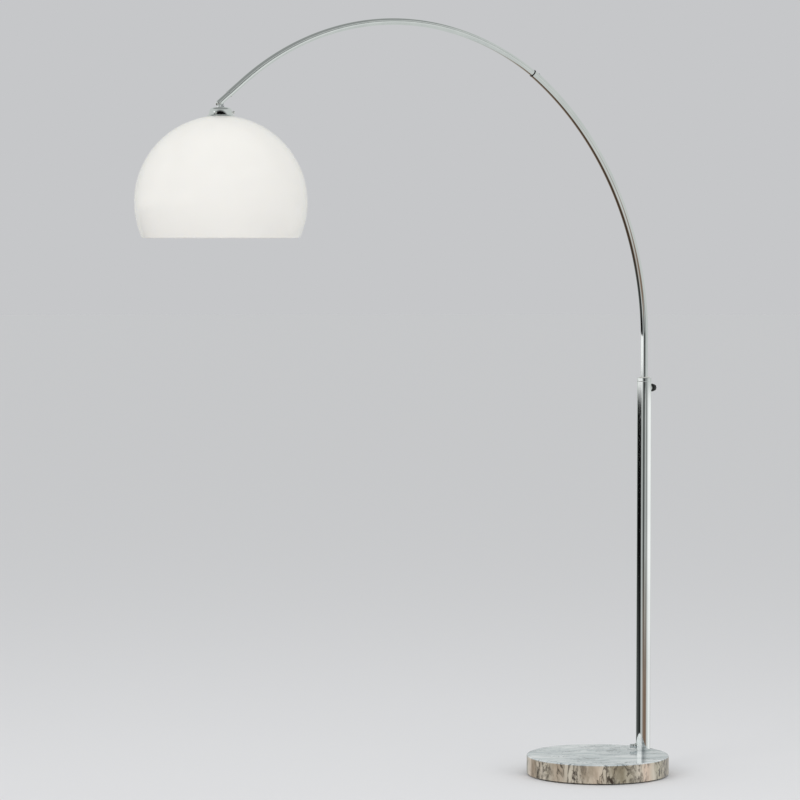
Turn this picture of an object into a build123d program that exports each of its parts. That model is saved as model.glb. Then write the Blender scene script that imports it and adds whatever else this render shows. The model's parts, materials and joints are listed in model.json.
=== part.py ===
from build123d import *
import math
import os

# Arc floor lamp: a marble disc carries an upright tube near its edge, and a bent
# two-piece arm slides and turns in that tube and holds a dome shade out over the room.
# Millimetres. The origin is the centre of the base's underside, +Z is up, and the arm
# lies in the XZ plane and reaches towards -X.

# ---------------------------------------------------------------- clearances
PRESS_GAP = 0.05        # radial gap of pieces that are pressed or screwed together
RUNNING_GAP = 0.08      # radial gap of a shaft or slide in its own hole
SIDE_GAP = 0.3          # gap beside a piece that turns between two others
LEAD_GAP = 0.5          # room around the mains lead in its holes

# ---------------------------------------------------------------- base
BASE_DIAMETER = 355.0
MARBLE_THICKNESS = 46.5
TOP_EDGE_RADIUS = 3.0
BOTTOM_EDGE_RADIUS = 1.5
PAD_THICKNESS = 3.0
PAD_INSET = 9.0
BOLT_DIAMETER = 12.0
BOLT_HEAD_WIDTH = 19.0
BOLT_HEAD_HEIGHT = 7.5
BOLT_BITE = 14.0
WASHER_DIAMETER = 54.0
WASHER_THICKNESS = 4.0
RECESS_DEPTH = 14.0
HOLE_PLAY = 0.5

# ---------------------------------------------------------------- pole
POLE_DIAMETER = 36.0
POLE_INSET = 35.5       # from the base's edge in to the pole's axis
POLE_OFFSET = BASE_DIAMETER / 2 - POLE_INSET
POLE_WALL = 1.5
POLE_LENGTH = 931.0
FOOT_PLUG_HEIGHT = 24.0
PLUG_WEB = 1.5          # metal between the bolt's thread and the lead's slot

# ---------------------------------------------------------------- mains lead and its outlet
LEAD_DIAMETER = 5.6
OUTLET_BEARING = 147.0  # degrees from +X, seen from above
OUTLET_HEIGHT = 10.0
OUTLET_DIAMETER = 10.0
OUTLET_LENGTH = 12.0
OUTLET_FLANGE = 14.0
OUTLET_BITE = 1.0       # how far the outlet goes into the foot plug

# ---------------------------------------------------------------- collar and clamp
COLLAR_HEIGHT = 10.0
COLLAR_SPIGOT = 48.0
LINER_WALL = 2.4
LINER_LIP = 1.0
CLAMP_DROP = 16.0       # from the pole tube's top end to the clamp screw's axis
CLAMP_SCREW_DIAMETER = 8.0
CLAMP_PITCH = 1.25
CLAMP_BUSH_DIAMETER = CLAMP_SCREW_DIAMETER + 4.0
CLAMP_BUSH_FLANGE = CLAMP_BUSH_DIAMETER + 3.0
CLAMP_BUSH_STANDOFF = 2.2
SHOE_DIAMETER = CLAMP_SCREW_DIAMETER - 1.6
SHOE_LENGTH = 5.0
SHOE_NOSE = 1.5
CLAMP_OPENING = 2.5     # how far the clamp shoe backs off the arm
KNOB_DIAMETER = 20.0
KNOB_TIP_DIAMETER = 14.0
KNOB_LENGTH = 13.0
KNOB_FLUTES = 8
FLUTE_RADIUS = 2.2

# ---------------------------------------------------------------- arm
LOWER_TUBE_DIAMETER = 19.0
LOWER_TUBE_WALL = 1.2
JOINT_GAP = 0.3         # radial gap between the two tubes where they plug together
UPPER_TUBE_DIAMETER = LOWER_TUBE_DIAMETER - 2 * LOWER_TUBE_WALL - 2 * JOINT_GAP
UPPER_TUBE_WALL = 1.0
ARM_TAIL = 360.0        # length of arm inside the pole
ARM_NECK = 97.6         # straight arm between the collar and the first bend
LOWER_BEND_RADIUS = 793.5
LOWER_BEND_TURN = 55.46
JOINT_BEND_RADIUS = 60.0
JOINT_BEND_TURN = 1.91
UPPER_BEND_RADIUS = 704.2
UPPER_BEND_TURN = 71.19
UPPER_END_STRAIGHT = 49.0
SPIGOT_TURN = 3.3       # degrees of the lower bend that the upper tube plugs into
JOINT_RING_LENGTH = 2.5
JOINT_SCREW_DIAMETER = 4.0
JOINT_SCREW_BACK = 1.1  # degrees of bend from the joint back to its screw
GLIDE_HEIGHT = 25.0
GLIDE_LIP = 3.0
GLIDE_LIP_BORE = LOWER_TUBE_DIAMETER - 4.0
CLIP_DIAMETER = LOWER_TUBE_DIAMETER + 5.0
CLIP_THICKNESS = 1.5

# ---------------------------------------------------------------- arm end and hook
FITTING_DIAMETER = UPPER_TUBE_DIAMETER - 1.6
FITTING_LENGTH = 35.0
FITTING_SPIGOT = 25.0
MOUTH_DROP = 5.0        # from the pivot to the flat under the arm's nose
PIVOT_DIAMETER = 4.0
PIVOT_HEAD_DIAMETER = PIVOT_DIAMETER + 2.6
PIVOT_HEAD_HEIGHT = 2.4
PIVOT_NUT_WIDTH = PIVOT_DIAMETER + 3.0
PIVOT_NUT_HEIGHT = 3.0
EYE_DIAMETER = PIVOT_DIAMETER + 6.0
EYE_THICKNESS = 5.0
HOOK_DIAMETER = 5.0
HOOK_OFFSET = 5.0       # from the shade's axis out to the hook
HOOK_COLLAR_DIAMETER = HOOK_DIAMETER + 3.0
HOOK_COLLAR_HEIGHT = 1.0
HOOK_TAIL = 5.0
HOOK_NUT_WIDTH = HOOK_DIAMETER + 3.0

# ---------------------------------------------------------------- cap and shade
CAP_DROP = 9.0          # from the pivot to the cap's top
CAP_HEIGHT = 17.5
CAP_WALL = 1.4
CAP_TAPER = 3.5         # how far the cap's side leans in over its height
CAP_SHOULDER_RADIUS = 7.0
NECK_DIAMETER = 44.0
NECK_WALL = 2.0
NECK_ROOM = 4.6         # radial room between the neck and the cap's rim
CAP_RIM_DIAMETER = NECK_DIAMETER + 2 * NECK_ROOM + 2 * CAP_WALL
CAP_TOP_DIAMETER = CAP_RIM_DIAMETER - 2 * CAP_TAPER
NECK_CLEARANCE = 6.0    # from the cap's top down to the neck's upper edge
NECK_DEPTH = 17.0       # neck length below the dome's crown
FLANGE_DIAMETER = CAP_RIM_DIAMETER + 10.0
FLANGE_EDGE = 0.8
GALLERY_SCREW_DIAMETER = 3.0
GALLERY_HEAD_DIAMETER = 6.0
GALLERY_HEAD_LENGTH = 4.5
GALLERY_SCREW_HEIGHT = 6.0
GALLERY_SCREWS = 3
RING_NUT_DIAMETER = NECK_DIAMETER + 22.0
RING_NUT_HEIGHT = 5.0
GASKET_THICKNESS = 1.5
SHADE_DIAMETER = 400.0
SHADE_WALL = 3.0
SHADE_DROP = 28.0       # from the pivot to the dome's crown
SHADE_DEPTH = 282.3     # from the dome's crown to its rim

# ---------------------------------------------------------------- lamp holder and bulb
NIPPLE_WALL = 1.0
NIPPLE_DIAMETER = LEAD_DIAMETER + 0.4 + 2 * NIPPLE_WALL
NIPPLE_LENGTH = 50.0
NIPPLE_STANDOUT = 1.0
NUT_WIDTH = NIPPLE_DIAMETER + 3.0
NUT_HEIGHT = 3.0
NUT_SPACE = 0.5
NIPPLE_OFFSET = (NUT_WIDTH + HOOK_NUT_WIDTH) / 2 + NUT_SPACE - HOOK_OFFSET
BUSH_DIAMETER = NIPPLE_DIAMETER + 1.0
BUSH_HEIGHT = 2.0
HOLDER_COVER_HEIGHT = 26.0
HOLDER_BODY_HEIGHT = 32.0
HOLDER_WALL = 2.2
INSERT_WALL = 3.2
INSERT_FLOOR = 6.0
BULB_CAP_DIAMETER = 26.4
BULB_CAP_GAP = 0.3
SLEEVE_WALL = 0.5
SLEEVE_LENGTH = 22.0
SLEEVE_DIAMETER = BULB_CAP_DIAMETER + 2 * BULB_CAP_GAP + 2 * SLEEVE_WALL
HOLDER_DIAMETER = SLEEVE_DIAMETER + 2 * INSERT_WALL + 2 * HOLDER_WALL + 4 * PRESS_GAP
BULB_CAP_LENGTH = 24.0
BULB_DIAMETER = 60.0
BULB_LENGTH = 108.0
BULB_HOUSING_LENGTH = 45.0
BULB_NECK_DIAMETER = BULB_CAP_DIAMETER + 2.6
BULB_WALL = 1.2
BOARD_THICKNESS = 1.6
CONTACT_DIAMETER = 8.0

# ---------------------------------------------------------------- places that several pieces share
BASE_TOP = PAD_THICKNESS + MARBLE_THICKNESS
POLE_TOP = BASE_TOP + POLE_LENGTH
COLLAR_TOP = POLE_TOP + COLLAR_HEIGHT
POLE_RADIUS = POLE_DIAMETER / 2
POLE_BORE = POLE_RADIUS - POLE_WALL
LOWER_RADIUS = LOWER_TUBE_DIAMETER / 2
LOWER_BORE = LOWER_RADIUS - LOWER_TUBE_WALL
UPPER_RADIUS = UPPER_TUBE_DIAMETER / 2
UPPER_BORE = UPPER_RADIUS - UPPER_TUBE_WALL
LINER_BORE = LOWER_RADIUS + RUNNING_GAP
LINER_RADIUS = LINER_BORE + LINER_WALL
CLAMP_Z = POLE_TOP - CLAMP_DROP
LEAD_RADIUS = LEAD_DIAMETER / 2
LEAD_WAY = LEAD_RADIUS + LEAD_GAP
LEAD_RISE = BOLT_DIAMETER / 2 + PLUG_WEB + LEAD_WAY
TAIL_Z = COLLAR_TOP - ARM_TAIL
BEND_Z = COLLAR_TOP + ARM_NECK
POLE_FOOT = Pos(POLE_OFFSET, 0, BASE_TOP)


# ---------------------------------------------------------------- helpers
def ring(outer, inner, height):
    """A plain ring that stands on the XY plane."""
    low = (Align.CENTER, Align.CENTER, Align.MIN)
    return Cylinder(outer, height, align=low) - Cylinder(inner, height, align=low)


def disc(radius, height):
    """A plain disc that stands on the XY plane."""
    return Cylinder(radius, height, align=(Align.CENTER, Align.CENTER, Align.MIN))


def hexagon(width, height):
    """A hexagon bar across flats that stands on the XY plane, with two flats towards X."""
    return extrude(Rot(0, 0, 30) * RegularPolygon(width / math.sqrt(3), 6), height)


def turned(*points):
    """A solid turned about Z from the corners of its half section (radius, height)."""
    outline = Polyline(*[(r, 0, z) for r, z in points], close=True)
    return revolve(make_face(outline), Axis.Z)


def along(station, distance):
    """The arm's centreline goes on straight: station is (x, z, lean in degrees)."""
    x, z, lean = station
    a = math.radians(lean)
    return x - distance * math.sin(a), z + distance * math.cos(a), lean


def bend_centre(station, radius):
    """The middle of a bend that starts at the station."""
    x, z, lean = station
    a = math.radians(lean)
    return x - radius * math.cos(a), z - radius * math.sin(a)


def round_bend(station, radius, turn):
    """The arm's centreline goes round a bend."""
    lean = station[2] + turn
    cx, cz = bend_centre(station, radius)
    a = math.radians(lean)
    return cx + radius * math.cos(a), cz + radius * math.sin(a), lean


def station_plane(station):
    """A plane square to the centreline, with its normal along the way to the shade."""
    x, z, lean = station
    a = math.radians(lean)
    return Plane(origin=(x, 0, z), x_dir=(0, 1, 0), z_dir=(-math.sin(a), 0, math.cos(a)))


def rod(station, distance, radius):
    """A straight stretch of bar on the centreline."""
    return station_plane(station) * disc(radius, distance)


def bent_rod(station, bend_radius, turn, radius):
    """A bent stretch of bar on the centreline."""
    cx, cz = bend_centre(station, bend_radius)
    section = station_plane(station) * Circle(radius)
    return revolve(section, Axis((cx, 0, cz), (0, -1, 0)), turn)


def lead(points, radii):
    """A stretch of mains lead along straight runs and tangent arcs."""
    return thick_lead(points, radii, LEAD_RADIUS)


def thick_lead(points, radii, radius):
    """The same route as a lead takes, at any thickness."""
    path = FilletPolyline(*points, radius=radii)
    return sweep(Plane(origin=path @ 0, z_dir=path % 0) * Circle(radius), path)


# ---------------------------------------------------------------- stations of the arm
BEND_START = (POLE_OFFSET, BEND_Z, 0.0)
JOINT = round_bend(BEND_START, LOWER_BEND_RADIUS, LOWER_BEND_TURN)
SPIGOT_START = round_bend(BEND_START, LOWER_BEND_RADIUS, LOWER_BEND_TURN - SPIGOT_TURN)
UPPER_START = round_bend(JOINT, JOINT_BEND_RADIUS, JOINT_BEND_TURN)
UPPER_END = round_bend(UPPER_START, UPPER_BEND_RADIUS, UPPER_BEND_TURN)
FITTING_START = along(UPPER_END, UPPER_END_STRAIGHT)
PIVOT = along(FITTING_START, FITTING_LENGTH)
PIVOT_X = PIVOT[0]
PIVOT_Z = PIVOT[1]

# The shade hangs under the pivot.
SHADE_X = PIVOT_X + HOOK_OFFSET
CAP_TOP = PIVOT_Z - CAP_DROP
CAP_RIM = CAP_TOP - CAP_HEIGHT
CROWN_Z = PIVOT_Z - SHADE_DROP
SHADE_RADIUS = SHADE_DIAMETER / 2
SHADE_Z = CROWN_Z - SHADE_RADIUS
RIM_Z = CROWN_Z - SHADE_DEPTH
NECK_RADIUS = NECK_DIAMETER / 2
NECK_BORE = NECK_RADIUS - NECK_WALL
NIPPLE_X = SHADE_X + NIPPLE_OFFSET
NIPPLE_RADIUS = NIPPLE_DIAMETER / 2
NIPPLE_TOP = CAP_TOP + NIPPLE_STANDOUT
NIPPLE_FOOT = NIPPLE_TOP - NIPPLE_LENGTH
CAP_CEILING = CAP_TOP - CAP_WALL

# The lead leaves the arm's centreline inside the fitting and drops to the nipple.
LEAD_TURN_LENGTH = (NIPPLE_X - PIVOT_X) / math.sin(math.radians(PIVOT[2]))
LEAD_TURN = along(PIVOT, -LEAD_TURN_LENGTH)
TIP_LEAD_RUN = 12.0
TIP_LEAD_START = along(LEAD_TURN, -TIP_LEAD_RUN)
TIP_TURN = math.radians(180.0 - PIVOT[2])
TIP_LEAD_RADIUS = 0.45 * TIP_LEAD_RUN / math.tan(TIP_TURN / 2)
TIP_ROUTE = [(TIP_LEAD_START[0], 0, TIP_LEAD_START[1]), (LEAD_TURN[0], 0, LEAD_TURN[1]),
             (NIPPLE_X, 0, NIPPLE_TOP)]

# ---------------------------------------------------------------- stations of the lamp holder and bulb
HOLDER_TOP = NIPPLE_FOOT + HOLDER_WALL + NUT_HEIGHT + 1.0
HOLDER_RADIUS = HOLDER_DIAMETER / 2
HOLDER_SPLIT = HOLDER_TOP - HOLDER_COVER_HEIGHT
HOLDER_MOUTH = HOLDER_SPLIT - HOLDER_BODY_HEIGHT
SLEEVE_RADIUS = SLEEVE_DIAMETER / 2
SLEEVE_TOP = HOLDER_MOUTH + 4.0 + SLEEVE_LENGTH
BULB_CAP_RADIUS = BULB_CAP_DIAMETER / 2
BULB_TIP = SLEEVE_TOP - 0.5
BULB_NECK_Z = BULB_TIP - BULB_CAP_LENGTH
BULB_RADIUS = BULB_DIAMETER / 2
BULB_NECK_RADIUS = BULB_NECK_DIAMETER / 2
BULB_WIDE_Z = BULB_NECK_Z - BULB_HOUSING_LENGTH
GLOBE_SEAT_RADIUS = BULB_RADIUS - 2.0
GLOBE_END = BULB_TIP - BULB_LENGTH


# ---------------------------------------------------------------- base
def foot_pad():
    """Soft disc under the marble, which the lamp stands on."""
    return disc(BASE_DIAMETER / 2 - PAD_INSET, PAD_THICKNESS)


def marble_base():
    """Stone disc with a hole for the pole's bolt and a recess for its washer."""
    stone = Pos(0, 0, PAD_THICKNESS) * disc(BASE_DIAMETER / 2, MARBLE_THICKNESS)
    rims = stone.edges().filter_by(GeomType.CIRCLE).sort_by(Axis.Z)
    stone = fillet(rims[-1], TOP_EDGE_RADIUS)
    rims = stone.edges().filter_by(GeomType.CIRCLE).sort_by(Axis.Z)
    stone = fillet(rims[0], BOTTOM_EDGE_RADIUS)
    stone -= Pos(POLE_OFFSET, 0, PAD_THICKNESS) * disc(BOLT_DIAMETER / 2 + HOLE_PLAY, MARBLE_THICKNESS)
    recess = disc(WASHER_DIAMETER / 2 + HOLE_PLAY, RECESS_DEPTH)
    return stone - Pos(POLE_OFFSET, 0, PAD_THICKNESS) * recess


def base_washer():
    """Steel washer that spreads the bolt's pull under the stone."""
    z = PAD_THICKNESS + RECESS_DEPTH - WASHER_THICKNESS
    return Pos(POLE_OFFSET, 0, z) * ring(WASHER_DIAMETER / 2, BOLT_DIAMETER / 2 + HOLE_PLAY, WASHER_THICKNESS)


def base_bolt():
    """Hexagon bolt that draws the pole down onto the stone."""
    z = PAD_THICKNESS + RECESS_DEPTH - WASHER_THICKNESS
    head = Pos(0, 0, z - BOLT_HEAD_HEIGHT) * hexagon(BOLT_HEAD_WIDTH, BOLT_HEAD_HEIGHT)
    shank = Pos(0, 0, z) * disc(BOLT_DIAMETER / 2 - PRESS_GAP, BASE_TOP + BOLT_BITE - z)
    return Pos(POLE_OFFSET, 0, 0) * (head + shank)


# ---------------------------------------------------------------- pole and cable outlet
def outlet_plane(distance):
    """Plane square to the outlet, at a distance from the pole's axis."""
    a = math.radians(OUTLET_BEARING)
    bearing = (math.cos(a), math.sin(a), 0)
    origin = (POLE_OFFSET + distance * bearing[0], distance * bearing[1], BASE_TOP + OUTLET_HEIGHT)
    return Plane(origin=origin, x_dir=(0, 0, 1), z_dir=bearing)


def lead_slot():
    """Slot in the foot plug, from the outlet up to the pole's inside."""
    half = LEAD_WAY
    height = FOOT_PLUG_HEIGHT - OUTLET_HEIGHT
    slot = Pos(LEAD_RISE, 0, 0) * (disc(half, height) + Sphere(half))
    slot += Pos(LEAD_RISE, 0, 0) * Box(POLE_BORE, 2 * half, height, align=(Align.MIN, Align.CENTER, Align.MIN))
    slot = Pos(POLE_OFFSET, 0, BASE_TOP + OUTLET_HEIGHT) * Rot(0, 0, OUTLET_BEARING) * slot
    return slot + outlet_plane(LEAD_RISE) * disc(half, POLE_BORE)


def foot_plug():
    """Steel plug pressed into the pole, with the bolt's thread and the lead's slot."""
    plug = disc(POLE_BORE - PRESS_GAP, FOOT_PLUG_HEIGHT) - disc(BOLT_DIAMETER / 2, BOLT_BITE + 2.0)
    plug = POLE_FOOT * plug - lead_slot()
    return plug - outlet_plane(POLE_BORE - OUTLET_BITE) * disc(OUTLET_DIAMETER / 2 + PRESS_GAP, POLE_WALL + 5.0)


def pole_tube():
    """Upright tube with a hole for the outlet and one for the clamp."""
    tube = POLE_FOOT * ring(POLE_RADIUS, POLE_BORE, POLE_LENGTH)
    tube -= outlet_plane(POLE_BORE - OUTLET_BITE) * disc(OUTLET_DIAMETER / 2 + PRESS_GAP, POLE_WALL + 5.0)
    hole = CLAMP_BUSH_DIAMETER / 2 + PRESS_GAP
    return tube - clamp_plane(LINER_RADIUS) * disc(hole, POLE_RADIUS)


def cable_outlet():
    """Turned nipple with a flange, through which the mains lead leaves the pole."""
    inner = POLE_BORE - OUTLET_BITE + 0.1
    body = outlet_plane(inner) * disc(OUTLET_DIAMETER / 2, POLE_RADIUS + OUTLET_LENGTH - inner)
    flange = outlet_plane(POLE_BORE) * disc(OUTLET_FLANGE / 2, POLE_WALL + 3.0)
    flange -= POLE_FOOT * disc(POLE_RADIUS + PRESS_GAP, 2 * OUTLET_HEIGHT)
    bore = outlet_plane(0) * disc(LEAD_WAY, 2 * POLE_DIAMETER)
    return body + flange - bore


def outlet_bush():
    """Soft bush at the outlet's mouth that keeps the lead off the metal edge."""
    mouth = POLE_RADIUS + OUTLET_LENGTH
    profile = [(LEAD_WAY, 0), (OUTLET_DIAMETER / 2, 0), (OUTLET_DIAMETER / 2, 1.5), (OUTLET_DIAMETER / 2 - 1.0, 3.0),
               (LEAD_WAY, 3.0)]
    return outlet_plane(mouth) * turned(*profile)


# ---------------------------------------------------------------- collar and clamp
def clamp_plane(distance):
    """Plane square to the clamp screw, at a distance from the pole's axis."""
    return Plane(origin=(POLE_OFFSET + distance, 0, CLAMP_Z), x_dir=(0, 1, 0), z_dir=(1, 0, 0))


def pole_collar():
    """Turned collar that closes the pole's top and carries the arm's liner."""
    bore = LINER_RADIUS + PRESS_GAP
    rim = 1.2
    collar = turned((bore, -COLLAR_SPIGOT), (POLE_BORE - PRESS_GAP, -COLLAR_SPIGOT), (POLE_BORE - PRESS_GAP, 0),
                    (POLE_RADIUS, 0), (POLE_RADIUS, COLLAR_HEIGHT - rim), (POLE_RADIUS - rim, COLLAR_HEIGHT),
                    (bore, COLLAR_HEIGHT))
    collar = Pos(POLE_OFFSET, 0, POLE_TOP) * collar
    return collar - clamp_plane(0) * disc(CLAMP_BUSH_DIAMETER / 2 + PRESS_GAP, POLE_DIAMETER)


def collar_liner():
    """Plastic liner that the arm slides and turns in."""
    top = COLLAR_HEIGHT + LINER_LIP
    liner = turned((LINER_BORE, -COLLAR_SPIGOT), (LINER_RADIUS, -COLLAR_SPIGOT), (LINER_RADIUS, COLLAR_HEIGHT),
                   (LINER_RADIUS + LINER_LIP, COLLAR_HEIGHT), (LINER_RADIUS, top), (LINER_BORE, top))
    liner = Pos(POLE_OFFSET, 0, POLE_TOP) * liner
    return liner - clamp_plane(0) * disc(SHOE_DIAMETER / 2 + RUNNING_GAP, POLE_DIAMETER)


def clamp_bush():
    """Threaded bush through the pole and the collar, with a round flange outside."""
    inner = LINER_RADIUS + 0.5
    body = clamp_plane(inner) * disc(CLAMP_BUSH_DIAMETER / 2, POLE_RADIUS - inner + CLAMP_BUSH_STANDOFF)
    flange = clamp_plane(POLE_BORE) * disc(CLAMP_BUSH_FLANGE / 2, POLE_WALL + CLAMP_BUSH_STANDOFF)
    flange -= Pos(POLE_OFFSET, 0, CLAMP_Z - CLAMP_BUSH_FLANGE) * disc(POLE_RADIUS + PRESS_GAP, 2 * CLAMP_BUSH_FLANGE)
    return body + flange - clamp_plane(0) * disc(CLAMP_SCREW_DIAMETER / 2, POLE_DIAMETER)


SHOE_START = LOWER_RADIUS + 0.05
SHOE_END = SHOE_START + SHOE_LENGTH
KNOB_START = POLE_RADIUS + CLAMP_BUSH_STANDOFF + 1.0


def clamp_shoe():
    """Plastic slug that the clamp screw presses on the arm."""
    slug = turned((0, 0), (SHOE_DIAMETER / 2 - SHOE_NOSE / 3, 0), (SHOE_DIAMETER / 2, SHOE_NOSE / 3),
                  (SHOE_DIAMETER / 2, SHOE_LENGTH), (0, SHOE_LENGTH))
    return clamp_plane(SHOE_START) * slug


def clamp_screw():
    """Steel stud from the clamp shoe out into the knob."""
    tip = SHOE_END
    end = KNOB_START + KNOB_LENGTH - 4.0
    radius = CLAMP_SCREW_DIAMETER / 2 - RUNNING_GAP
    stud = turned((0, 0), (radius - 0.6, 0), (radius, 0.6), (radius, end - tip), (0, end - tip))
    return clamp_plane(tip) * stud


def clamp_knob():
    """Tapered hand knob with flutes round its edge."""
    outer = KNOB_DIAMETER / 2
    tip = KNOB_TIP_DIAMETER / 2
    body = turned((0, 0), (outer - 2.5, 0), (outer, 2.0), (outer, 5.0), (tip + 1.0, KNOB_LENGTH - 1.5),
                  (tip - 1.0, KNOB_LENGTH), (0, KNOB_LENGTH))
    for i in range(KNOB_FLUTES):
        body -= Rot(0, 0, 360.0 * i / KNOB_FLUTES) * Pos(outer + 1.0, 0, 0) * disc(FLUTE_RADIUS, KNOB_LENGTH)
    body -= disc(CLAMP_SCREW_DIAMETER / 2, KNOB_LENGTH - 4.0)
    return clamp_plane(KNOB_START) * body


# ---------------------------------------------------------------- arm
def arm_glide():
    """Plastic runner at the arm's foot, which keeps it central in the pole."""
    outer = POLE_BORE - RUNNING_GAP
    glide = turned((GLIDE_LIP_BORE / 2, -GLIDE_LIP), (outer - 1.0, -GLIDE_LIP), (outer, 1.0 - GLIDE_LIP),
                   (outer, GLIDE_HEIGHT - 1.0 - GLIDE_LIP), (outer - 1.0, GLIDE_HEIGHT - GLIDE_LIP),
                   (LINER_BORE, GLIDE_HEIGHT - GLIDE_LIP), (LINER_BORE, -0.1), (GLIDE_LIP_BORE / 2, -0.1))
    return Pos(POLE_OFFSET, 0, TAIL_Z) * glide


def glide_clip():
    """Spring ring on the arm that holds the glide against its end."""
    z = TAIL_Z + GLIDE_HEIGHT - GLIDE_LIP + 0.1
    return Pos(POLE_OFFSET, 0, z) * ring(CLIP_DIAMETER / 2, LOWER_RADIUS + PRESS_GAP, CLIP_THICKNESS)


def lower_bar(radius):
    """The lower tube's whole length as a bar."""
    tail = Pos(POLE_OFFSET, 0, TAIL_Z) * disc(radius, ARM_TAIL + ARM_NECK)
    return tail + bent_rod(BEND_START, LOWER_BEND_RADIUS, LOWER_BEND_TURN, radius)


def joint_screw_plane(distance):
    """Plane square to the joint's screw, which sits on the arm's outer side."""
    station = round_bend(BEND_START, LOWER_BEND_RADIUS, LOWER_BEND_TURN - JOINT_SCREW_BACK)
    a = math.radians(station[2])
    outward = (math.cos(a), 0, math.sin(a))
    origin = (station[0] + distance * outward[0], 0, station[1] + distance * outward[2])
    return Plane(origin=origin, x_dir=(0, 1, 0), z_dir=outward)


def lower_arc_tube():
    """Thicker lower half of the arm: a straight tail and one long bend."""
    hole = joint_screw_plane(UPPER_BORE) * disc(JOINT_SCREW_DIAMETER / 2 + PRESS_GAP, LOWER_RADIUS)
    return lower_bar(LOWER_RADIUS) - lower_bar(LOWER_BORE) - hole


def upper_bar(radius):
    """The upper tube's whole length as a bar."""
    bar = bent_rod(SPIGOT_START, LOWER_BEND_RADIUS, SPIGOT_TURN, radius)
    bar += bent_rod(JOINT, JOINT_BEND_RADIUS, JOINT_BEND_TURN, radius)
    bar += bent_rod(UPPER_START, UPPER_BEND_RADIUS, UPPER_BEND_TURN, radius)
    return bar + rod(UPPER_END, UPPER_END_STRAIGHT, radius)


def upper_arc_tube():
    """Thinner upper half of the arm, which plugs into the lower half."""
    return upper_bar(UPPER_RADIUS) - upper_bar(UPPER_BORE)


def joint_ring():
    """Dark ring that closes the gap at the lower tube's mouth."""
    band = station_plane(JOINT) * ring(LOWER_RADIUS, UPPER_RADIUS, JOINT_RING_LENGTH)
    return band - upper_bar(UPPER_RADIUS + PRESS_GAP)


def joint_screw():
    """Small screw that locks the two tubes together."""
    shank = joint_screw_plane(UPPER_RADIUS + 0.02) * disc(JOINT_SCREW_DIAMETER / 2, LOWER_RADIUS - UPPER_RADIUS + 1.0)
    socket = joint_screw_plane(LOWER_RADIUS) * hexagon(JOINT_SCREW_DIAMETER / 2, 2.0)
    return shank - socket


def arm_end_fitting():
    """Turned end of the arm with a slot for the shade's hook and a way for the lead."""
    radius = FITTING_DIAMETER / 2
    body = rod(FITTING_START, FITTING_LENGTH, radius)
    body += Pos(PIVOT_X, 0, PIVOT_Z) * Sphere(radius)
    body += rod(along(FITTING_START, -FITTING_SPIGOT), FITTING_SPIGOT, UPPER_BORE - PRESS_GAP)
    reach = FITTING_LENGTH + FITTING_SPIGOT
    body -= Pos(PIVOT_X, 0, PIVOT_Z - MOUTH_DROP) * Box(4 * radius, 4 * radius, reach,
                                                       align=(Align.CENTER, Align.CENTER, Align.MAX))
    slot_width = max(EYE_THICKNESS, HOOK_DIAMETER) + 2 * SIDE_GAP
    slot_radius = EYE_DIAMETER / 2 + SIDE_GAP
    slot = Pos(PIVOT_X, 0, PIVOT_Z) * Rot(90, 0, 0) * Cylinder(slot_radius, slot_width)
    slot += Pos(PIVOT_X + slot_radius, 0, PIVOT_Z) * Box(4 * radius, slot_width, 2 * radius,
                                                         align=(Align.MAX, Align.CENTER, Align.MAX))
    body -= slot
    body -= Pos(PIVOT_X, 0, PIVOT_Z) * Rot(90, 0, 0) * Cylinder(PIVOT_DIAMETER / 2 + PRESS_GAP, 4 * radius)
    body -= rod(along(FITTING_START, -2 * FITTING_SPIGOT), 2 * FITTING_SPIGOT + FITTING_LENGTH - 22.0, LEAD_WAY)
    return body - thick_lead(TIP_ROUTE, [TIP_LEAD_RADIUS], LEAD_WAY)


def pivot_screw():
    """Round-headed screw that the shade's hook swings on."""
    side = FITTING_DIAMETER / 2
    length = 2 * side + PIVOT_NUT_HEIGHT + 1.0
    head_radius = PIVOT_HEAD_DIAMETER / 2
    head = turned((0, 0), (head_radius, 0), (head_radius, 0.6), (head_radius * 0.75, PIVOT_HEAD_HEIGHT * 0.75),
                  (head_radius * 0.4, PIVOT_HEAD_HEIGHT), (0, PIVOT_HEAD_HEIGHT))
    screw = head + Pos(0, 0, -length) * disc(PIVOT_DIAMETER / 2, length)
    return Plane(origin=(PIVOT_X, -side, PIVOT_Z), x_dir=(1, 0, 0), z_dir=(0, -1, 0)) * screw


def pivot_nut():
    """Nut on the far side of the pivot screw."""
    side = FITTING_DIAMETER / 2
    nut = hexagon(PIVOT_NUT_WIDTH, PIVOT_NUT_HEIGHT) - disc(PIVOT_DIAMETER / 2 + PRESS_GAP, PIVOT_NUT_HEIGHT)
    return Plane(origin=(PIVOT_X, side, PIVOT_Z), x_dir=(1, 0, 0), z_dir=(0, 1, 0)) * nut


# ---------------------------------------------------------------- hook, cap and nipple
def shade_hook():
    """Eye and shank that hang the shade's cap from the pivot."""
    eye = Rot(90, 0, 0) * Cylinder(EYE_DIAMETER / 2, EYE_THICKNESS)
    shank = Pos(0, 0, -CAP_DROP - HOOK_TAIL) * disc(HOOK_DIAMETER / 2, CAP_DROP + HOOK_TAIL)
    collar = Pos(0, 0, -CAP_DROP) * disc(HOOK_COLLAR_DIAMETER / 2, HOOK_COLLAR_HEIGHT)
    hook = eye + shank + collar
    hook -= Rot(90, 0, 0) * Cylinder(PIVOT_DIAMETER / 2 + RUNNING_GAP, 2 * EYE_THICKNESS)
    return Pos(PIVOT_X, 0, PIVOT_Z) * hook


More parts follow.
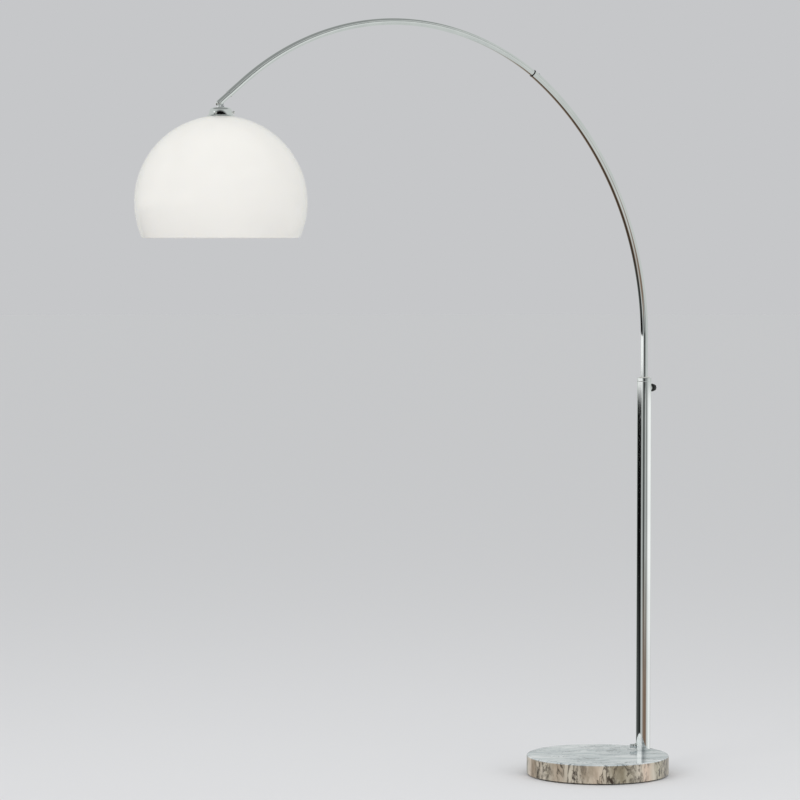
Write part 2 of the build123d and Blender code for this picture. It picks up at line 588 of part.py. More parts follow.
def hook_nut():
    """Nut under the cap's roof that holds the hook."""
    nut = hexagon(HOOK_NUT_WIDTH, NUT_HEIGHT) - disc(HOOK_DIAMETER / 2 + PRESS_GAP, NUT_HEIGHT)
    return Pos(PIVOT_X, 0, CAP_CEILING - NUT_HEIGHT) * nut


def cap_outline(shrink):
    """Half section of the cap's outside, drawn in by a wall where asked."""
    top = CAP_TOP_DIAMETER / 2 - shrink
    rim = CAP_RIM_DIAMETER / 2 - shrink
    height = CAP_HEIGHT - shrink
    bar = turned((0, 0), (rim, 0), (top, height), (0, height))
    edge = bar.edges().filter_by(GeomType.CIRCLE).sort_by(Axis.Z)[-1]
    return fillet(edge, CAP_SHOULDER_RADIUS - shrink)


def shade_cap():
    """Spun cap over the shade's neck."""
    cap = Pos(SHADE_X, 0, CAP_RIM) * (cap_outline(0) - cap_outline(CAP_WALL))
    cap -= Pos(PIVOT_X, 0, CAP_RIM) * disc(HOOK_DIAMETER / 2 + PRESS_GAP, 2 * CAP_HEIGHT)
    cap -= Pos(NIPPLE_X, 0, CAP_RIM) * disc(NIPPLE_RADIUS + PRESS_GAP, 2 * CAP_HEIGHT)
    for i in range(GALLERY_SCREWS):
        cap -= gallery_plane(i, 0) * disc(GALLERY_SCREW_DIAMETER / 2 + PRESS_GAP, CAP_RIM_DIAMETER)
    return cap


def gallery_plane(index, distance):
    """Plane square to one of the cap's side screws."""
    a = math.radians(180.0 + 33.0 + 360.0 * index / GALLERY_SCREWS)
    origin = (SHADE_X + distance * math.cos(a), distance * math.sin(a), CAP_RIM + GALLERY_SCREW_HEIGHT)
    return Plane(origin=origin, x_dir=(0, 0, 1), z_dir=(math.cos(a), math.sin(a), 0))


def gallery_screws():
    """Thumb screws through the cap's side that grip the shade's neck."""
    taper = (CAP_RIM_DIAMETER - CAP_TOP_DIAMETER) / 2 / CAP_HEIGHT
    head_start = CAP_RIM_DIAMETER / 2 - taper * (GALLERY_SCREW_HEIGHT - GALLERY_HEAD_DIAMETER / 2) + 0.3
    start = NECK_RADIUS + 0.05
    shank = disc(GALLERY_SCREW_DIAMETER / 2, head_start - start)
    grip = GALLERY_HEAD_DIAMETER / 2
    head = turned((0, 0), (grip - 0.8, 0), (grip, 0.8), (grip, GALLERY_HEAD_LENGTH - 1.0),
                  (grip - 1.0, GALLERY_HEAD_LENGTH), (0, GALLERY_HEAD_LENGTH))
    screw = shank + Pos(0, 0, head_start - start) * head
    return Compound([gallery_plane(i, start) * screw for i in range(GALLERY_SCREWS)])


def cable_nipple():
    """Threaded tube that carries the lamp holder under the cap."""
    tube = ring(NIPPLE_RADIUS, NIPPLE_RADIUS - NIPPLE_WALL, NIPPLE_LENGTH)
    return Pos(NIPPLE_X, 0, NIPPLE_FOOT) * tube


def nipple_bush():
    """Soft bush on the nipple's top, where the lead goes in."""
    outer = BUSH_DIAMETER / 2
    bush = turned((NIPPLE_RADIUS + PRESS_GAP, 0), (outer, 0), (outer, NIPPLE_STANDOUT + 0.5),
                  (outer - 1.2, NIPPLE_STANDOUT + BUSH_HEIGHT), (LEAD_RADIUS + PRESS_GAP, NIPPLE_STANDOUT + BUSH_HEIGHT),
                  (LEAD_RADIUS + PRESS_GAP, NIPPLE_STANDOUT), (NIPPLE_RADIUS + PRESS_GAP, NIPPLE_STANDOUT))
    return Pos(NIPPLE_X, 0, CAP_TOP) * bush


def nipple_nuts():
    """Two nuts on the nipple: under the cap's roof and inside the lamp holder."""
    nut = hexagon(NUT_WIDTH, NUT_HEIGHT) - disc(NIPPLE_RADIUS + PRESS_GAP, NUT_HEIGHT)
    heights = [CAP_CEILING - NUT_HEIGHT, HOLDER_TOP - HOLDER_WALL - NUT_HEIGHT]
    return Compound([Pos(NIPPLE_X, 0, z) * nut for z in heights])


# ---------------------------------------------------------------- shade and its neck
def sphere_height(radius, across):
    """Height of a sphere about the shade's centre, over a point off its axis."""
    return SHADE_Z + math.sqrt(radius * radius - across * across)


def shade_neck():
    """Turned neck whose flange rests on the dome, outside."""
    flange_radius = FLANGE_DIAMETER / 2
    seat = CAP_RIM_DIAMETER / 2 + 1.0
    outer_seat = sphere_height(SHADE_RADIUS, flange_radius) + FLANGE_EDGE
    low = CROWN_Z - NECK_DEPTH
    neck = turned((NECK_BORE, low), (NECK_RADIUS, low), (NECK_RADIUS, SHADE_Z), (flange_radius, SHADE_Z),
                  (flange_radius, outer_seat), (seat, CAP_RIM), (NECK_RADIUS, CAP_RIM),
                  (NECK_RADIUS, CAP_TOP - NECK_CLEARANCE), (NECK_BORE, CAP_TOP - NECK_CLEARANCE))
    below = Pos(0, 0, SHADE_Z) * Sphere(SHADE_RADIUS) - Pos(0, 0, SHADE_Z) * disc(NECK_RADIUS, SHADE_DIAMETER)
    return Pos(SHADE_X, 0, 0) * (neck - below)


def dome(radius, bore):
    """Ball about the shade's centre, cut at the rim and bored at the crown."""
    ball = Pos(0, 0, SHADE_Z) * Sphere(radius)
    ball -= Pos(0, 0, RIM_Z) * Box(3 * radius, 3 * radius, 2 * radius, align=(Align.CENTER, Align.CENTER, Align.MAX))
    return ball - Pos(0, 0, SHADE_Z) * disc(bore, 2 * radius)


def lamp_shade():
    """Moulded dome, open at the rim, with a hole at the crown for the neck."""
    hole = NECK_RADIUS + 0.2
    shell = dome(SHADE_RADIUS, hole) - Pos(0, 0, SHADE_Z) * Sphere(SHADE_RADIUS - SHADE_WALL)
    return Pos(SHADE_X, 0, 0) * shell


def shade_gasket():
    """Soft washer under the dome, between the ring nut and the shade."""
    outer = RING_NUT_DIAMETER / 2
    under = SHADE_RADIUS - SHADE_WALL
    band = Pos(0, 0, SHADE_Z) * (Sphere(under) - Sphere(under - GASKET_THICKNESS))
    band &= Pos(0, 0, SHADE_Z) * ring(outer, NECK_RADIUS + 0.2, SHADE_DIAMETER)
    return Pos(SHADE_X, 0, 0) * band


def shade_ring_nut():
    """Flat ring nut on the neck that clamps the shade from inside."""
    outer = RING_NUT_DIAMETER / 2
    under = SHADE_RADIUS - SHADE_WALL - GASKET_THICKNESS
    top = sphere_height(under, outer)
    nut = ring(outer, NECK_RADIUS + PRESS_GAP, RING_NUT_HEIGHT)
    for i in range(4):
        nut -= Rot(0, 0, 90 * i) * Pos(outer, 0, 0) * disc(3.0, RING_NUT_HEIGHT)
    return Pos(SHADE_X, 0, top - RING_NUT_HEIGHT) * nut


# ---------------------------------------------------------------- lamp holder
def holder_cover():
    """Upper half of the lamp holder, screwed on the nipple."""
    outer = HOLDER_RADIUS
    inner = HOLDER_RADIUS - HOLDER_WALL
    bore = NIPPLE_RADIUS + PRESS_GAP
    cover = turned((inner, 0), (outer, 0), (outer, 8.0), (13.0, HOLDER_COVER_HEIGHT - 4.0), (9.0, HOLDER_COVER_HEIGHT),
                   (bore, HOLDER_COVER_HEIGHT), (bore, HOLDER_COVER_HEIGHT - HOLDER_WALL),
                   (8.5, HOLDER_COVER_HEIGHT - HOLDER_WALL), (inner, 8.0))
    return Pos(NIPPLE_X, 0, HOLDER_SPLIT) * cover


def holder_body():
    """Lower half of the lamp holder, a short tube with a rolled lip."""
    outer = HOLDER_RADIUS
    inner = HOLDER_RADIUS - HOLDER_WALL
    body = turned((inner, 0), (outer + 1.0, 0), (outer + 1.0, 3.0), (outer, 4.0), (outer, HOLDER_BODY_HEIGHT),
                  (inner, HOLDER_BODY_HEIGHT))
    return Pos(NIPPLE_X, 0, HOLDER_MOUTH) * body


def holder_insert():
    """Ceramic insert that holds the threaded sleeve and the centre contact."""
    outer = HOLDER_RADIUS - HOLDER_WALL - PRESS_GAP
    low = HOLDER_MOUTH + 3.0
    insert = Pos(0, 0, low) * disc(outer, SLEEVE_TOP + INSERT_FLOOR - low)
    insert -= Pos(0, 0, low) * disc(SLEEVE_RADIUS + PRESS_GAP, SLEEVE_TOP + 3.0 - low)
    return Pos(NIPPLE_X, 0, 0) * insert


def socket_sleeve():
    """Pressed metal sleeve that the bulb screws into."""
    sleeve = Pos(0, 0, SLEEVE_TOP - SLEEVE_LENGTH) * ring(SLEEVE_RADIUS, SLEEVE_RADIUS - SLEEVE_WALL, SLEEVE_LENGTH)
    return Pos(NIPPLE_X, 0, 0) * sleeve


def socket_contact():
    """Springy centre contact on the insert's floor."""
    tongue = Pos(0, 0, 1.5) * Box(16.0, CONTACT_DIAMETER, 0.8, align=(Align.CENTER, Align.CENTER, Align.MIN))
    post = Pos(-6.0, 0, 2.0) * Box(3.0, CONTACT_DIAMETER, 1.0, align=(Align.CENTER, Align.CENTER, Align.MIN))
    return Pos(NIPPLE_X, 0, SLEEVE_TOP) * (tongue + post)


# ---------------------------------------------------------------- bulb
def bulb_cap():
    """Threaded metal cap of the bulb with its centre contact."""
    thread = turned((0, -BULB_CAP_LENGTH), (BULB_CAP_RADIUS, -BULB_CAP_LENGTH), (BULB_CAP_RADIUS, -5.0), (7.0, -1.0),
                    (4.5, 0.0), (4.5, 1.2), (0, 1.2))
    return Pos(NIPPLE_X, 0, BULB_TIP) * thread


def bulb_housing():
    """Moulded cone between the bulb's cap and its globe."""
    wide = BULB_RADIUS
    housing = turned((0, 0), (BULB_CAP_RADIUS - 1.0, 0), (BULB_NECK_RADIUS, -2.0), (BULB_NECK_RADIUS + 1.5, -8.0),
                     (wide - 3.0, -BULB_HOUSING_LENGTH + 8.0), (wide - 1.0, -BULB_HOUSING_LENGTH),
                     (0, -BULB_HOUSING_LENGTH))
    return Pos(NIPPLE_X, 0, BULB_NECK_Z) * housing


def led_board():
    """Metal board under the globe with the light sources on it."""
    return Pos(NIPPLE_X, 0, BULB_WIDE_Z - BOARD_THICKNESS) * disc(GLOBE_SEAT_RADIUS - 3.0, BOARD_THICKNESS)


def bulb_globe():
    """Opal end of the bulb, a thin moulded bowl."""
    depth = BULB_WIDE_Z - GLOBE_END
    ball_radius = BULB_RADIUS
    ball_z = GLOBE_END + ball_radius
    outer = Pos(0, 0, ball_z) * Sphere(ball_radius)
    inner = Pos(0, 0, ball_z) * Sphere(ball_radius - BULB_WALL)
    keep = Pos(0, 0, GLOBE_END) * disc(2 * ball_radius, depth)
    barrel = depth - ball_radius
    if barrel > 0:
        low = (Align.CENTER, Align.CENTER, Align.MIN)
        outer += Pos(0, 0, ball_z) * Cylinder(ball_radius, barrel, align=low)
        inner += Pos(0, 0, ball_z) * Cylinder(ball_radius - BULB_WALL, barrel, align=low)
    return Pos(NIPPLE_X, 0, 0) * ((outer - inner) & keep)


# ---------------------------------------------------------------- mains lead inside the lamp
def pole_lead():
    """Lead from the outlet up the pole to the arm's foot."""
    a = math.radians(OUTLET_BEARING)
    route = []
    for across, z in ((POLE_RADIUS + OUTLET_LENGTH - 2.0, BASE_TOP + OUTLET_HEIGHT),
                      (LEAD_RISE, BASE_TOP + OUTLET_HEIGHT), (LEAD_RISE, BASE_TOP + 60.0), (0, BASE_TOP + 200.0),
                      (0, TAIL_Z)):
        route.append((POLE_OFFSET + across * math.cos(a), across * math.sin(a), z))
    return lead(route, [LEAD_DIAMETER, 400.0, 400.0])


def arm_lead():
    """Lead on the arm's centreline, from its foot to the fitting."""
    bar = Pos(POLE_OFFSET, 0, TAIL_Z) * disc(LEAD_RADIUS, ARM_TAIL + ARM_NECK)
    bar += bent_rod(BEND_START, LOWER_BEND_RADIUS, LOWER_BEND_TURN, LEAD_RADIUS)
    bar += bent_rod(JOINT, JOINT_BEND_RADIUS, JOINT_BEND_TURN, LEAD_RADIUS)
    bar += bent_rod(UPPER_START, UPPER_BEND_RADIUS, UPPER_BEND_TURN, LEAD_RADIUS)
    rest = UPPER_END_STRAIGHT + FITTING_LENGTH - LEAD_TURN_LENGTH - TIP_LEAD_RUN
    return bar + rod(UPPER_END, rest, LEAD_RADIUS)


def tip_lead():
    """Short bend of lead from the arm's end into the nipple's bush."""
    return lead(TIP_ROUTE, [TIP_LEAD_RADIUS])


def shade_lead():
    """Lead through the nipple to the lamp holder's terminals."""
    radius = min(LEAD_RADIUS, NIPPLE_RADIUS - NIPPLE_WALL - PRESS_GAP)
    low = SLEEVE_TOP + INSERT_FLOOR
    return Pos(NIPPLE_X, 0, low) * disc(radius, NIPPLE_TOP - low)


# ---------------------------------------------------------------- write every piece
PIECES = [
    foot_pad, marble_base, base_washer, base_bolt, foot_plug, pole_tube, cable_outlet, outlet_bush, pole_collar,
    collar_liner, clamp_bush, clamp_shoe, clamp_screw, clamp_knob, arm_glide, glide_clip, lower_arc_tube,
    upper_arc_tube, joint_ring, joint_screw, arm_end_fitting, pivot_screw, pivot_nut, shade_hook, hook_nut, shade_cap,
    gallery_screws, cable_nipple, nipple_bush, nipple_nuts, shade_neck, lamp_shade, shade_gasket, shade_ring_nut,
    holder_cover, holder_body, holder_insert, socket_sleeve, socket_contact, bulb_cap, bulb_housing, led_board,
    bulb_globe, pole_lead, arm_lead, tip_lead, shade_lead,
]

os.makedirs("parts", exist_ok=True)
for piece in PIECES:
    export_step(piece(), "parts/" + piece.__name__ + ".step")
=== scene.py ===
import json
import math

import bmesh
import bpy
from mathutils import Matrix, Vector


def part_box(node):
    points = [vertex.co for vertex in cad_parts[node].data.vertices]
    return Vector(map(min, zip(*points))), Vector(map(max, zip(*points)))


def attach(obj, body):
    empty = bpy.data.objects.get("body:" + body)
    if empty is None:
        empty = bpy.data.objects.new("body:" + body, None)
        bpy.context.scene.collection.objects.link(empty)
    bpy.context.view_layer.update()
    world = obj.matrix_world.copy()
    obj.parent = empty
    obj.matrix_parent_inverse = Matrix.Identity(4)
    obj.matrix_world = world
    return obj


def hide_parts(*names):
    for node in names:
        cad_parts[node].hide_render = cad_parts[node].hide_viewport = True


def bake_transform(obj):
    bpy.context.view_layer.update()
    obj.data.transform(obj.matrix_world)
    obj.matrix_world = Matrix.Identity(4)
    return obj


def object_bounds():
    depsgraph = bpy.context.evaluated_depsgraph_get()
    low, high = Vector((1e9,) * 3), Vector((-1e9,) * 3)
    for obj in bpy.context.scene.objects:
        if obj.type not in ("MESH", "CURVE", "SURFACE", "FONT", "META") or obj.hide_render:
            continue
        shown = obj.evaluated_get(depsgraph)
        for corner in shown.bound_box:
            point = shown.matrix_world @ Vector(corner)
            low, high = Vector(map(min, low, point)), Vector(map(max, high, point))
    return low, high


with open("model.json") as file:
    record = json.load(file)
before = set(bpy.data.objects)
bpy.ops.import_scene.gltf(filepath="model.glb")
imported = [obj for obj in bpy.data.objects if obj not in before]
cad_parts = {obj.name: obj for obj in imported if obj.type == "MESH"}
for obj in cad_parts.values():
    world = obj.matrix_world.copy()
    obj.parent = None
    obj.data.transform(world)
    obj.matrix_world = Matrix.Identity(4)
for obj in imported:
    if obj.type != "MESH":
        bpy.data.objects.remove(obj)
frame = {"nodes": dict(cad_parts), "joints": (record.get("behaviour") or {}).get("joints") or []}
cad_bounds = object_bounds()


# ---------------------------------------------------------------- camera
# A long lens stands about eight metres off at chest height, 33 degrees round from square
# on, and looks very slightly down.
def middle(node):
    """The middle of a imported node's box."""
    low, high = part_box(node)
    return (Vector(low) + Vector(high)) / 2


pole_middle = middle("pole_tube")
camera_turn = math.radians(33.03)
camera_distance = 8.371
camera_side = 0.6136
camera_height = 1.3109
camera_dip = math.radians(2.58)
ahead = Vector((math.sin(camera_turn), math.cos(camera_turn), 0))
rightwards = Vector((math.cos(camera_turn), -math.sin(camera_turn), 0))

camera_data = bpy.data.cameras.new("camera")
camera_data.lens = 150.0
camera_data.sensor_width = 36.0
camera = bpy.data.objects.new("camera", camera_data)
camera.location = (Vector((pole_middle.x, pole_middle.y, 0)) - ahead * camera_distance
                   - rightwards * camera_side)
camera.location.z = camera_height
camera.rotation_euler = (math.radians(90) - camera_dip, 0, -camera_turn)
bpy.context.collection.objects.link(camera)
bpy.context.scene.camera = camera
bpy.context.scene.view_settings.view_transform = "Standard"


# ---------------------------------------------------------------- studio
# A pale seamless floor and three soft lights. The room that the plating mirrors is a ring
# of upright soft boxes with dark gaps between them, in three tiers, under a grey ceiling.
def linear(hex_colour):
    """Turns an sRGB colour such as "D8D9DA" into Blender's linear one."""
    parts = [int(hex_colour[i:i + 2], 16) / 255 for i in (0, 2, 4)]
    return [c / 12.92 if c <= 0.04045 else ((c + 0.055) / 1.055) ** 2.4 for c in parts] + [1.0]


def add_node(tree, kind, inputs=None, **settings):
    """Adds a node; inputs holds its sockets' values, or the sockets that feed them."""
    made = tree.nodes.new(kind)
    for name, value in settings.items():
        setattr(made, name, value)
    for name, value in (inputs or {}).items():
        if isinstance(value, bpy.types.NodeSocket):
            tree.links.new(value, made.inputs[name])
        else:
            made.inputs[name].default_value = value
    return made


def set_stops(ramp_node, stops):
    """Gives a colour ramp its stops, each a position and a colour, and returns its colour socket."""
    elements = ramp_node.color_ramp.elements
    elements.remove(elements[-1])
    elements[0].position = stops[0][0]
    elements[0].color = linear(stops[0][1])
    for position, colour in stops[1:]:
        elements.new(position).color = linear(colour)
    return ramp_node.outputs["Color"]


room = bpy.data.worlds.new("studio")
room.use_nodes = True
room_tree = room.node_tree
room_tree.nodes.clear()
gaze = add_node(room_tree, "ShaderNodeTexCoord").outputs["Generated"]
turned_gaze = add_node(room_tree, "ShaderNodeMapping",
                       {"Vector": gaze, "Rotation": (0, 0, camera_turn + math.radians(90))})
gaze_parts = add_node(room_tree, "ShaderNodeSeparateXYZ", {"Vector": turned_gaze.outputs["Vector"]})
bearing = add_node(room_tree, "ShaderNodeMath", {0: gaze_parts.outputs["Y"], 1: gaze_parts.outputs["X"]},
                   operation="ARCTAN2").outputs[0]
round_share = add_node(room_tree, "ShaderNodeMath", {0: bearing, 1: 1 / (2 * math.pi), 2: 0.5},
                       operation="MULTIPLY_ADD").outputs[0]
rise = gaze_parts.outputs["Z"]
off_middle = add_node(room_tree, "ShaderNodeMath", {0: round_share, 1: 0.5}, operation="SUBTRACT").outputs[0]
off_squared = add_node(room_tree, "ShaderNodeMath", {0: off_middle, 1: off_middle},
                       operation="MULTIPLY").outputs[0]
arched_rise = add_node(room_tree, "ShaderNodeMath", {0: off_squared, 1: 4.0, 2: rise},
                       operation="MULTIPLY_ADD").outputs[0]


def tier(below, colour, start, end, measured=rise):
    """Goes over from the room below to another colour between two rises."""
    share = add_node(room_tree, "ShaderNodeMapRange", {"Value": measured, "From Min": start, "From Max": end})
    return add_node(room_tree, "ShaderNodeMix", {"Factor": share.outputs["Result"], "A": below, "B": colour},
                    data_type="RGBA").outputs["Result"]


soft_box = "F8FAF9"
strip_box = "C4C8C6"
room_wall = "707472"
black_flag = "0A0B0B"
timber = "7A6656"


def ring_of(stops):
    """A ring round the room from (share of the turn, tone) stops; the camera stands at a half."""
    return set_stops(add_node(room_tree, "ShaderNodeValToRGB", {"Fac": round_share}), stops)


low_boxes = ring_of([(0.00, room_wall), (0.35, black_flag), (0.40, strip_box), (0.50, timber), (0.60, timber),
                     (0.65, strip_box), (0.80, soft_box), (1.00, room_wall)])
pole_boxes = ring_of([(0.00, room_wall), (0.20, black_flag), (0.35, black_flag), (0.40, strip_box),
                      (0.45, room_wall), (0.50, black_flag), (0.55, strip_box), (0.60, room_wall),
                      (0.70, soft_box), (0.90, soft_box), (1.00, room_wall)])
high_boxes = ring_of([(0.00, room_wall), (0.20, soft_box), (0.40, soft_box), (0.45, room_wall),
                      (0.50, black_flag), (0.55, room_wall), (0.70, strip_box), (0.80, strip_box),
                      (1.00, room_wall)])
dark_panel = ring_of([(0.00, room_wall), (0.25, strip_box), (0.30, black_flag), (0.70, black_flag),
                      (0.75, strip_box), (1.00, room_wall)])
ground = ring_of([(0.00, strip_box), (0.10, timber), (0.30, black_flag), (0.40, timber), (0.45, strip_box),
                  (1.00, strip_box)])
mirrored = tier(low_boxes, pole_boxes, -0.13, -0.09)
mirrored = tier(mirrored, high_boxes, -0.045, -0.040)
mirrored = tier(mirrored, dark_panel, 0.25, 0.29)
mirrored = tier(mirrored, linear(strip_box), 0.50, 0.55, arched_rise)
mirrored = tier(mirrored, linear("8E9190"), 0.60, 0.75)
mirrored = tier(ground, mirrored, -0.40, -0.22)
ray = add_node(room_tree, "ShaderNodeLightPath")
lit_room = add_node(room_tree, "ShaderNodeMix", {
    "Factor": ray.outputs["Is Diffuse Ray"], "A": mirrored, "B": linear("E4E5E6")}, data_type="RGBA")
seen_room = add_node(room_tree, "ShaderNodeMix", {
    "Factor": ray.outputs["Is Camera Ray"], "A": lit_room.outputs["Result"], "B": linear("C6C7C9")},
    data_type="RGBA")
backdrop = add_node(room_tree, "ShaderNodeBackground",
                    {"Color": seen_room.outputs["Result"], "Strength": 1.0})
add_node(room_tree, "ShaderNodeOutputWorld", {"Surface": backdrop.outputs["Background"]})
bpy.context.scene.world = room

floor_reach = 60.0
floor_bm = bmesh.new()
bmesh.ops.create_circle(floor_bm, cap_ends=True, radius=floor_reach, segments=64)
floor_mesh = bpy.data.meshes.new("floor")
floor_bm.to_mesh(floor_mesh)
floor_bm.free()
floor = bpy.data.objects.new("floor", floor_mesh)
bpy.context.collection.objects.link(floor)
floor_paint = bpy.data.materials.new("matt_floor_paint")
floor_paint.use_nodes = True
floor_shader = floor_paint.node_tree.nodes["Principled BSDF"]
floor_shader.inputs["Base Color"].default_value = linear("E2E2E3")
floor_shader.inputs["Roughness"].default_value = 0.9
floor_shader.inputs["Specular IOR Level"].default_value = 0.0
floor_mesh.materials.append(floor_paint)
floor.visible_glossy = False


def soft_light(name, side, height, back, size, power):
    """A square soft light that aims at the lamp's middle; side and back are from the camera's view."""
    target = (Vector(cad_bounds[0]) + Vector(cad_bounds[1])) / 2
    data = bpy.data.lights.new(name, "AREA")
    data.size = size
    data.energy = power
    lamp = bpy.data.objects.new(name, data)
    lamp.location = target + rightwards * side + ahead * back + Vector((0, 0, height))
    lamp.rotation_euler = (target - lamp.location).to_track_quat("-Z", "Y").to_euler()
    lamp.visible_glossy = False
    bpy.context.collection.objects.link(lamp)


soft_light("key_light", -2.6, 1.6, -3.2, 2.0, 38)
soft_light("fill_light", 3.0, 0.6, -2.4, 2.4, 28)
soft_light("top_light", 0.2, 3.0, 0.4, 2.6, 12)


# ---------------------------------------------------------------- foot pad
# A disc of closed-cell foam rubber glued under the stone, so that the lamp neither
# scratches the floor nor slides.
def start_material(name):
    """A new material with an empty tree."""
    material = bpy.data.materials.new(name)
    material.use_nodes = True
    material.node_tree.nodes.clear()
    return material, material.node_tree


def grain(tree, cloud_size, detail=2.0, stretch=(1, 1, 1)):
    """A cloudy pattern on the piece's own coordinates."""
    place = add_node(tree, "ShaderNodeMapping", {
        "Vector": add_node(tree, "ShaderNodeTexCoord").outputs["Object"], "Scale": stretch}).outputs["Vector"]
    return add_node(tree, "ShaderNodeTexNoise",
                    {"Vector": place, "Scale": 1 / cloud_size, "Detail": detail}).outputs["Fac"]


def surface(tree, inputs):
    """Ends a material's tree in one shader."""
    shader = add_node(tree, "ShaderNodeBsdfPrincipled", inputs)
    add_node(tree, "ShaderNodeOutputMaterial", {"Surface": shader.outputs["BSDF"]})


def turned(outline, steps=96, closed=True):
    """Turns an outline of (radius, height) points about Z; closed joins its ends, unless on the axis."""
    bm = bmesh.new()
    made = [bm.verts.new((radius, 0, height)) for radius, height in outline]
    edges = [bm.edges.new(pair) for pair in zip(made, made[1:])]
    if closed and (outline[0][0] > 0 or outline[-1][0] > 0):
        edges.append(bm.edges.new((made[-1], made[0])))
    bmesh.ops.spin(bm, geom=made + edges, cent=(0, 0, 0), axis=(0, 0, 1), angle=math.radians(360),
                   steps=steps,
                   use_merge=True)
    bmesh.ops.remove_doubles(bm, verts=bm.verts, dist=1e-7)
    bmesh.ops.recalc_face_normals(bm, faces=bm.faces)
    return bm


def ease(bm, edges, width, segments=3):
    """Rounds edges; the flat faces beside them keep their own shading."""
    band = set(bmesh.ops.bevel(bm, geom=edges, offset=width, affect="EDGES", segments=segments, profile=0.5,
                               material=-1, clamp_overlap=True)["faces"])
    for face in band:
        for edge in face.edges:
            if any(other not in band for other in edge.link_faces):
                edge.smooth = False


def ease_edges(bm, width, corner=30.0, segments=3):
    """Rounds every edge that turns by more than the corner's angle."""
    ease(bm, [e for e in bm.edges if e.is_manifold and e.calc_face_angle() > math.radians(corner)], width,
         segments)


def put(bm, place):
    """Moves a piece that was made at the origin to its place."""
    bmesh.ops.transform(bm, matrix=place, verts=bm.verts)


def facing(direction, origin):
    """The place of a piece made along +Z that points along a direction from an origin."""
    turn = Vector((0, 0, 1)).rotation_difference(Vector(direction)).to_matrix().to_4x4()
    return Matrix.Translation(origin) @ turn


def finish_piece(bm, name, material, body, replaced, sharp=35.0, place=None):
    """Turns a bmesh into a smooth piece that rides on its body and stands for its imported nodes."""
    if place is not None:
        put(bm, place)
    bmesh.ops.recalc_face_normals(bm, faces=bm.faces)
    for face in bm.faces:
        face.smooth = True
    for edge in bm.edges:
        if edge.is_manifold and edge.calc_face_angle() > math.radians(sharp):
            edge.smooth = False
    mesh = bpy.data.meshes.new(name)
    bm.to_mesh(mesh)
    bm.free()
    mesh.materials.append(material)
    piece = bpy.data.objects.new(name, mesh)
    bpy.context.collection.objects.link(piece)
    if body:
        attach(piece, body)
    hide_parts(*replaced)
    return piece


# Foam rubber: dull black, with open pores about a millimetre across, their hollows painted darker as shade.
foam_rubber, tree = start_material("foam_rubber")
pore_spacing = 0.0012
pores = add_node(tree, "ShaderNodeTexVoronoi", {
    "Vector": add_node(tree, "ShaderNodeTexCoord").outputs["Object"], "Scale": 1 / pore_spacing})
# Painted shade: the pore centres, which the bump sinks, get the darker tone.
pore_tone_with_shade = set_stops(add_node(tree, "ShaderNodeValToRGB", {"Fac": pores.outputs["Distance"]}),
                      [(0.0, "0C0C0C"), (0.6, "1E1E1D")])
pore_bump = add_node(tree, "ShaderNodeBump", {"Height": pores.outputs["Distance"], "Strength": 0.3,
                                              "Distance": 0.0003})
surface(tree, {"Base Color": pore_tone_with_shade, "Roughness": 0.9, "IOR": 1.5, "Normal": pore_bump.outputs["Normal"]})

pad_low, pad_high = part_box("foot_pad")
pad_radius = (pad_high.x - pad_low.x) / 2
pad_bm = turned([(0, pad_low.z), (pad_radius, pad_low.z), (pad_radius, pad_high.z), (0, pad_high.z)], 160)
ease_edges(pad_bm, 0.0008)
finish_piece(pad_bm, "foam_foot_pad", foam_rubber, "stand", ["foot_pad"])


# ---------------------------------------------------------------- stone base
# A sawn disc of veined marble. Its top and its eased upper edge are polished to a mirror,
# and its side is honed; the side's darker, browner tones are painted shade.
stone_low, stone_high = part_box("marble_base")
stone_top = stone_high.z
stone_radius = (stone_high.x - stone_low.x) / 2

# Marble: cool white clouds crossed by thin grey veins 40 to 60 mm apart; the side shows
# the same veins as upright streaks in darker, browner tones painted as shade, with rusty specks of 1 to 3 mm.
drift_length = 0.1667
cloud_length = 0.04545
vein_spacing = 0.0625
fine_vein_spacing = 0.04167
vein_gap = 0.07143
band_width = 0.09091
stain_length = 0.008333
patch_width = 0.05882
marble, tree = start_material("polished_marble")
stone_place = add_node(tree, "ShaderNodeTexCoord").outputs["Object"]
upright = add_node(tree, "ShaderNodeMapping", {
    "Vector": stone_place, "Scale": (1.0, 1.0, 0.25),
                                               "Rotation": (0, 0, math.radians(-62))}).outputs["Vector"]
drift = add_node(tree, "ShaderNodeTexNoise",
                 {"Vector": upright, "Scale": 1 / drift_length, "Detail": 4.0, "Roughness": 0.55})
drifted = add_node(tree, "ShaderNodeMix", {"Factor": 0.12, "A": upright, "B": drift.outputs["Color"]},
                   data_type="VECTOR").outputs["Result"]
drawn_out = add_node(tree, "ShaderNodeMapping",
                     {"Vector": drifted, "Scale": (1.0, 0.3, 1.0)}).outputs["Vector"]
clouds = add_node(tree, "ShaderNodeTexNoise", {
    "Vector": drawn_out, "Scale": 1 / cloud_length, "Detail": 7.0, "Roughness": 0.6}).outputs["Fac"]


def vein_lines(place, spacing, width, detail):
    """Thin lines where a noise crosses its middle value."""
    noise = add_node(tree, "ShaderNodeTexNoise", {
        "Vector": place, "Scale": 1 / spacing, "Detail": detail, "Roughness": 0.62}).outputs["Fac"]
    away = add_node(tree, "ShaderNodeMath", {0: noise, 1: 0.5}, operation="SUBTRACT").outputs[0]
    away = add_node(tree, "ShaderNodeMath", {0: away}, operation="ABSOLUTE").outputs[0]
    return add_node(tree, "ShaderNodeMapRange", {
        "Value": away, "From Min": 0.0, "From Max": width, "To Min": 1.0, "To Max": 0.0}).outputs["Result"]


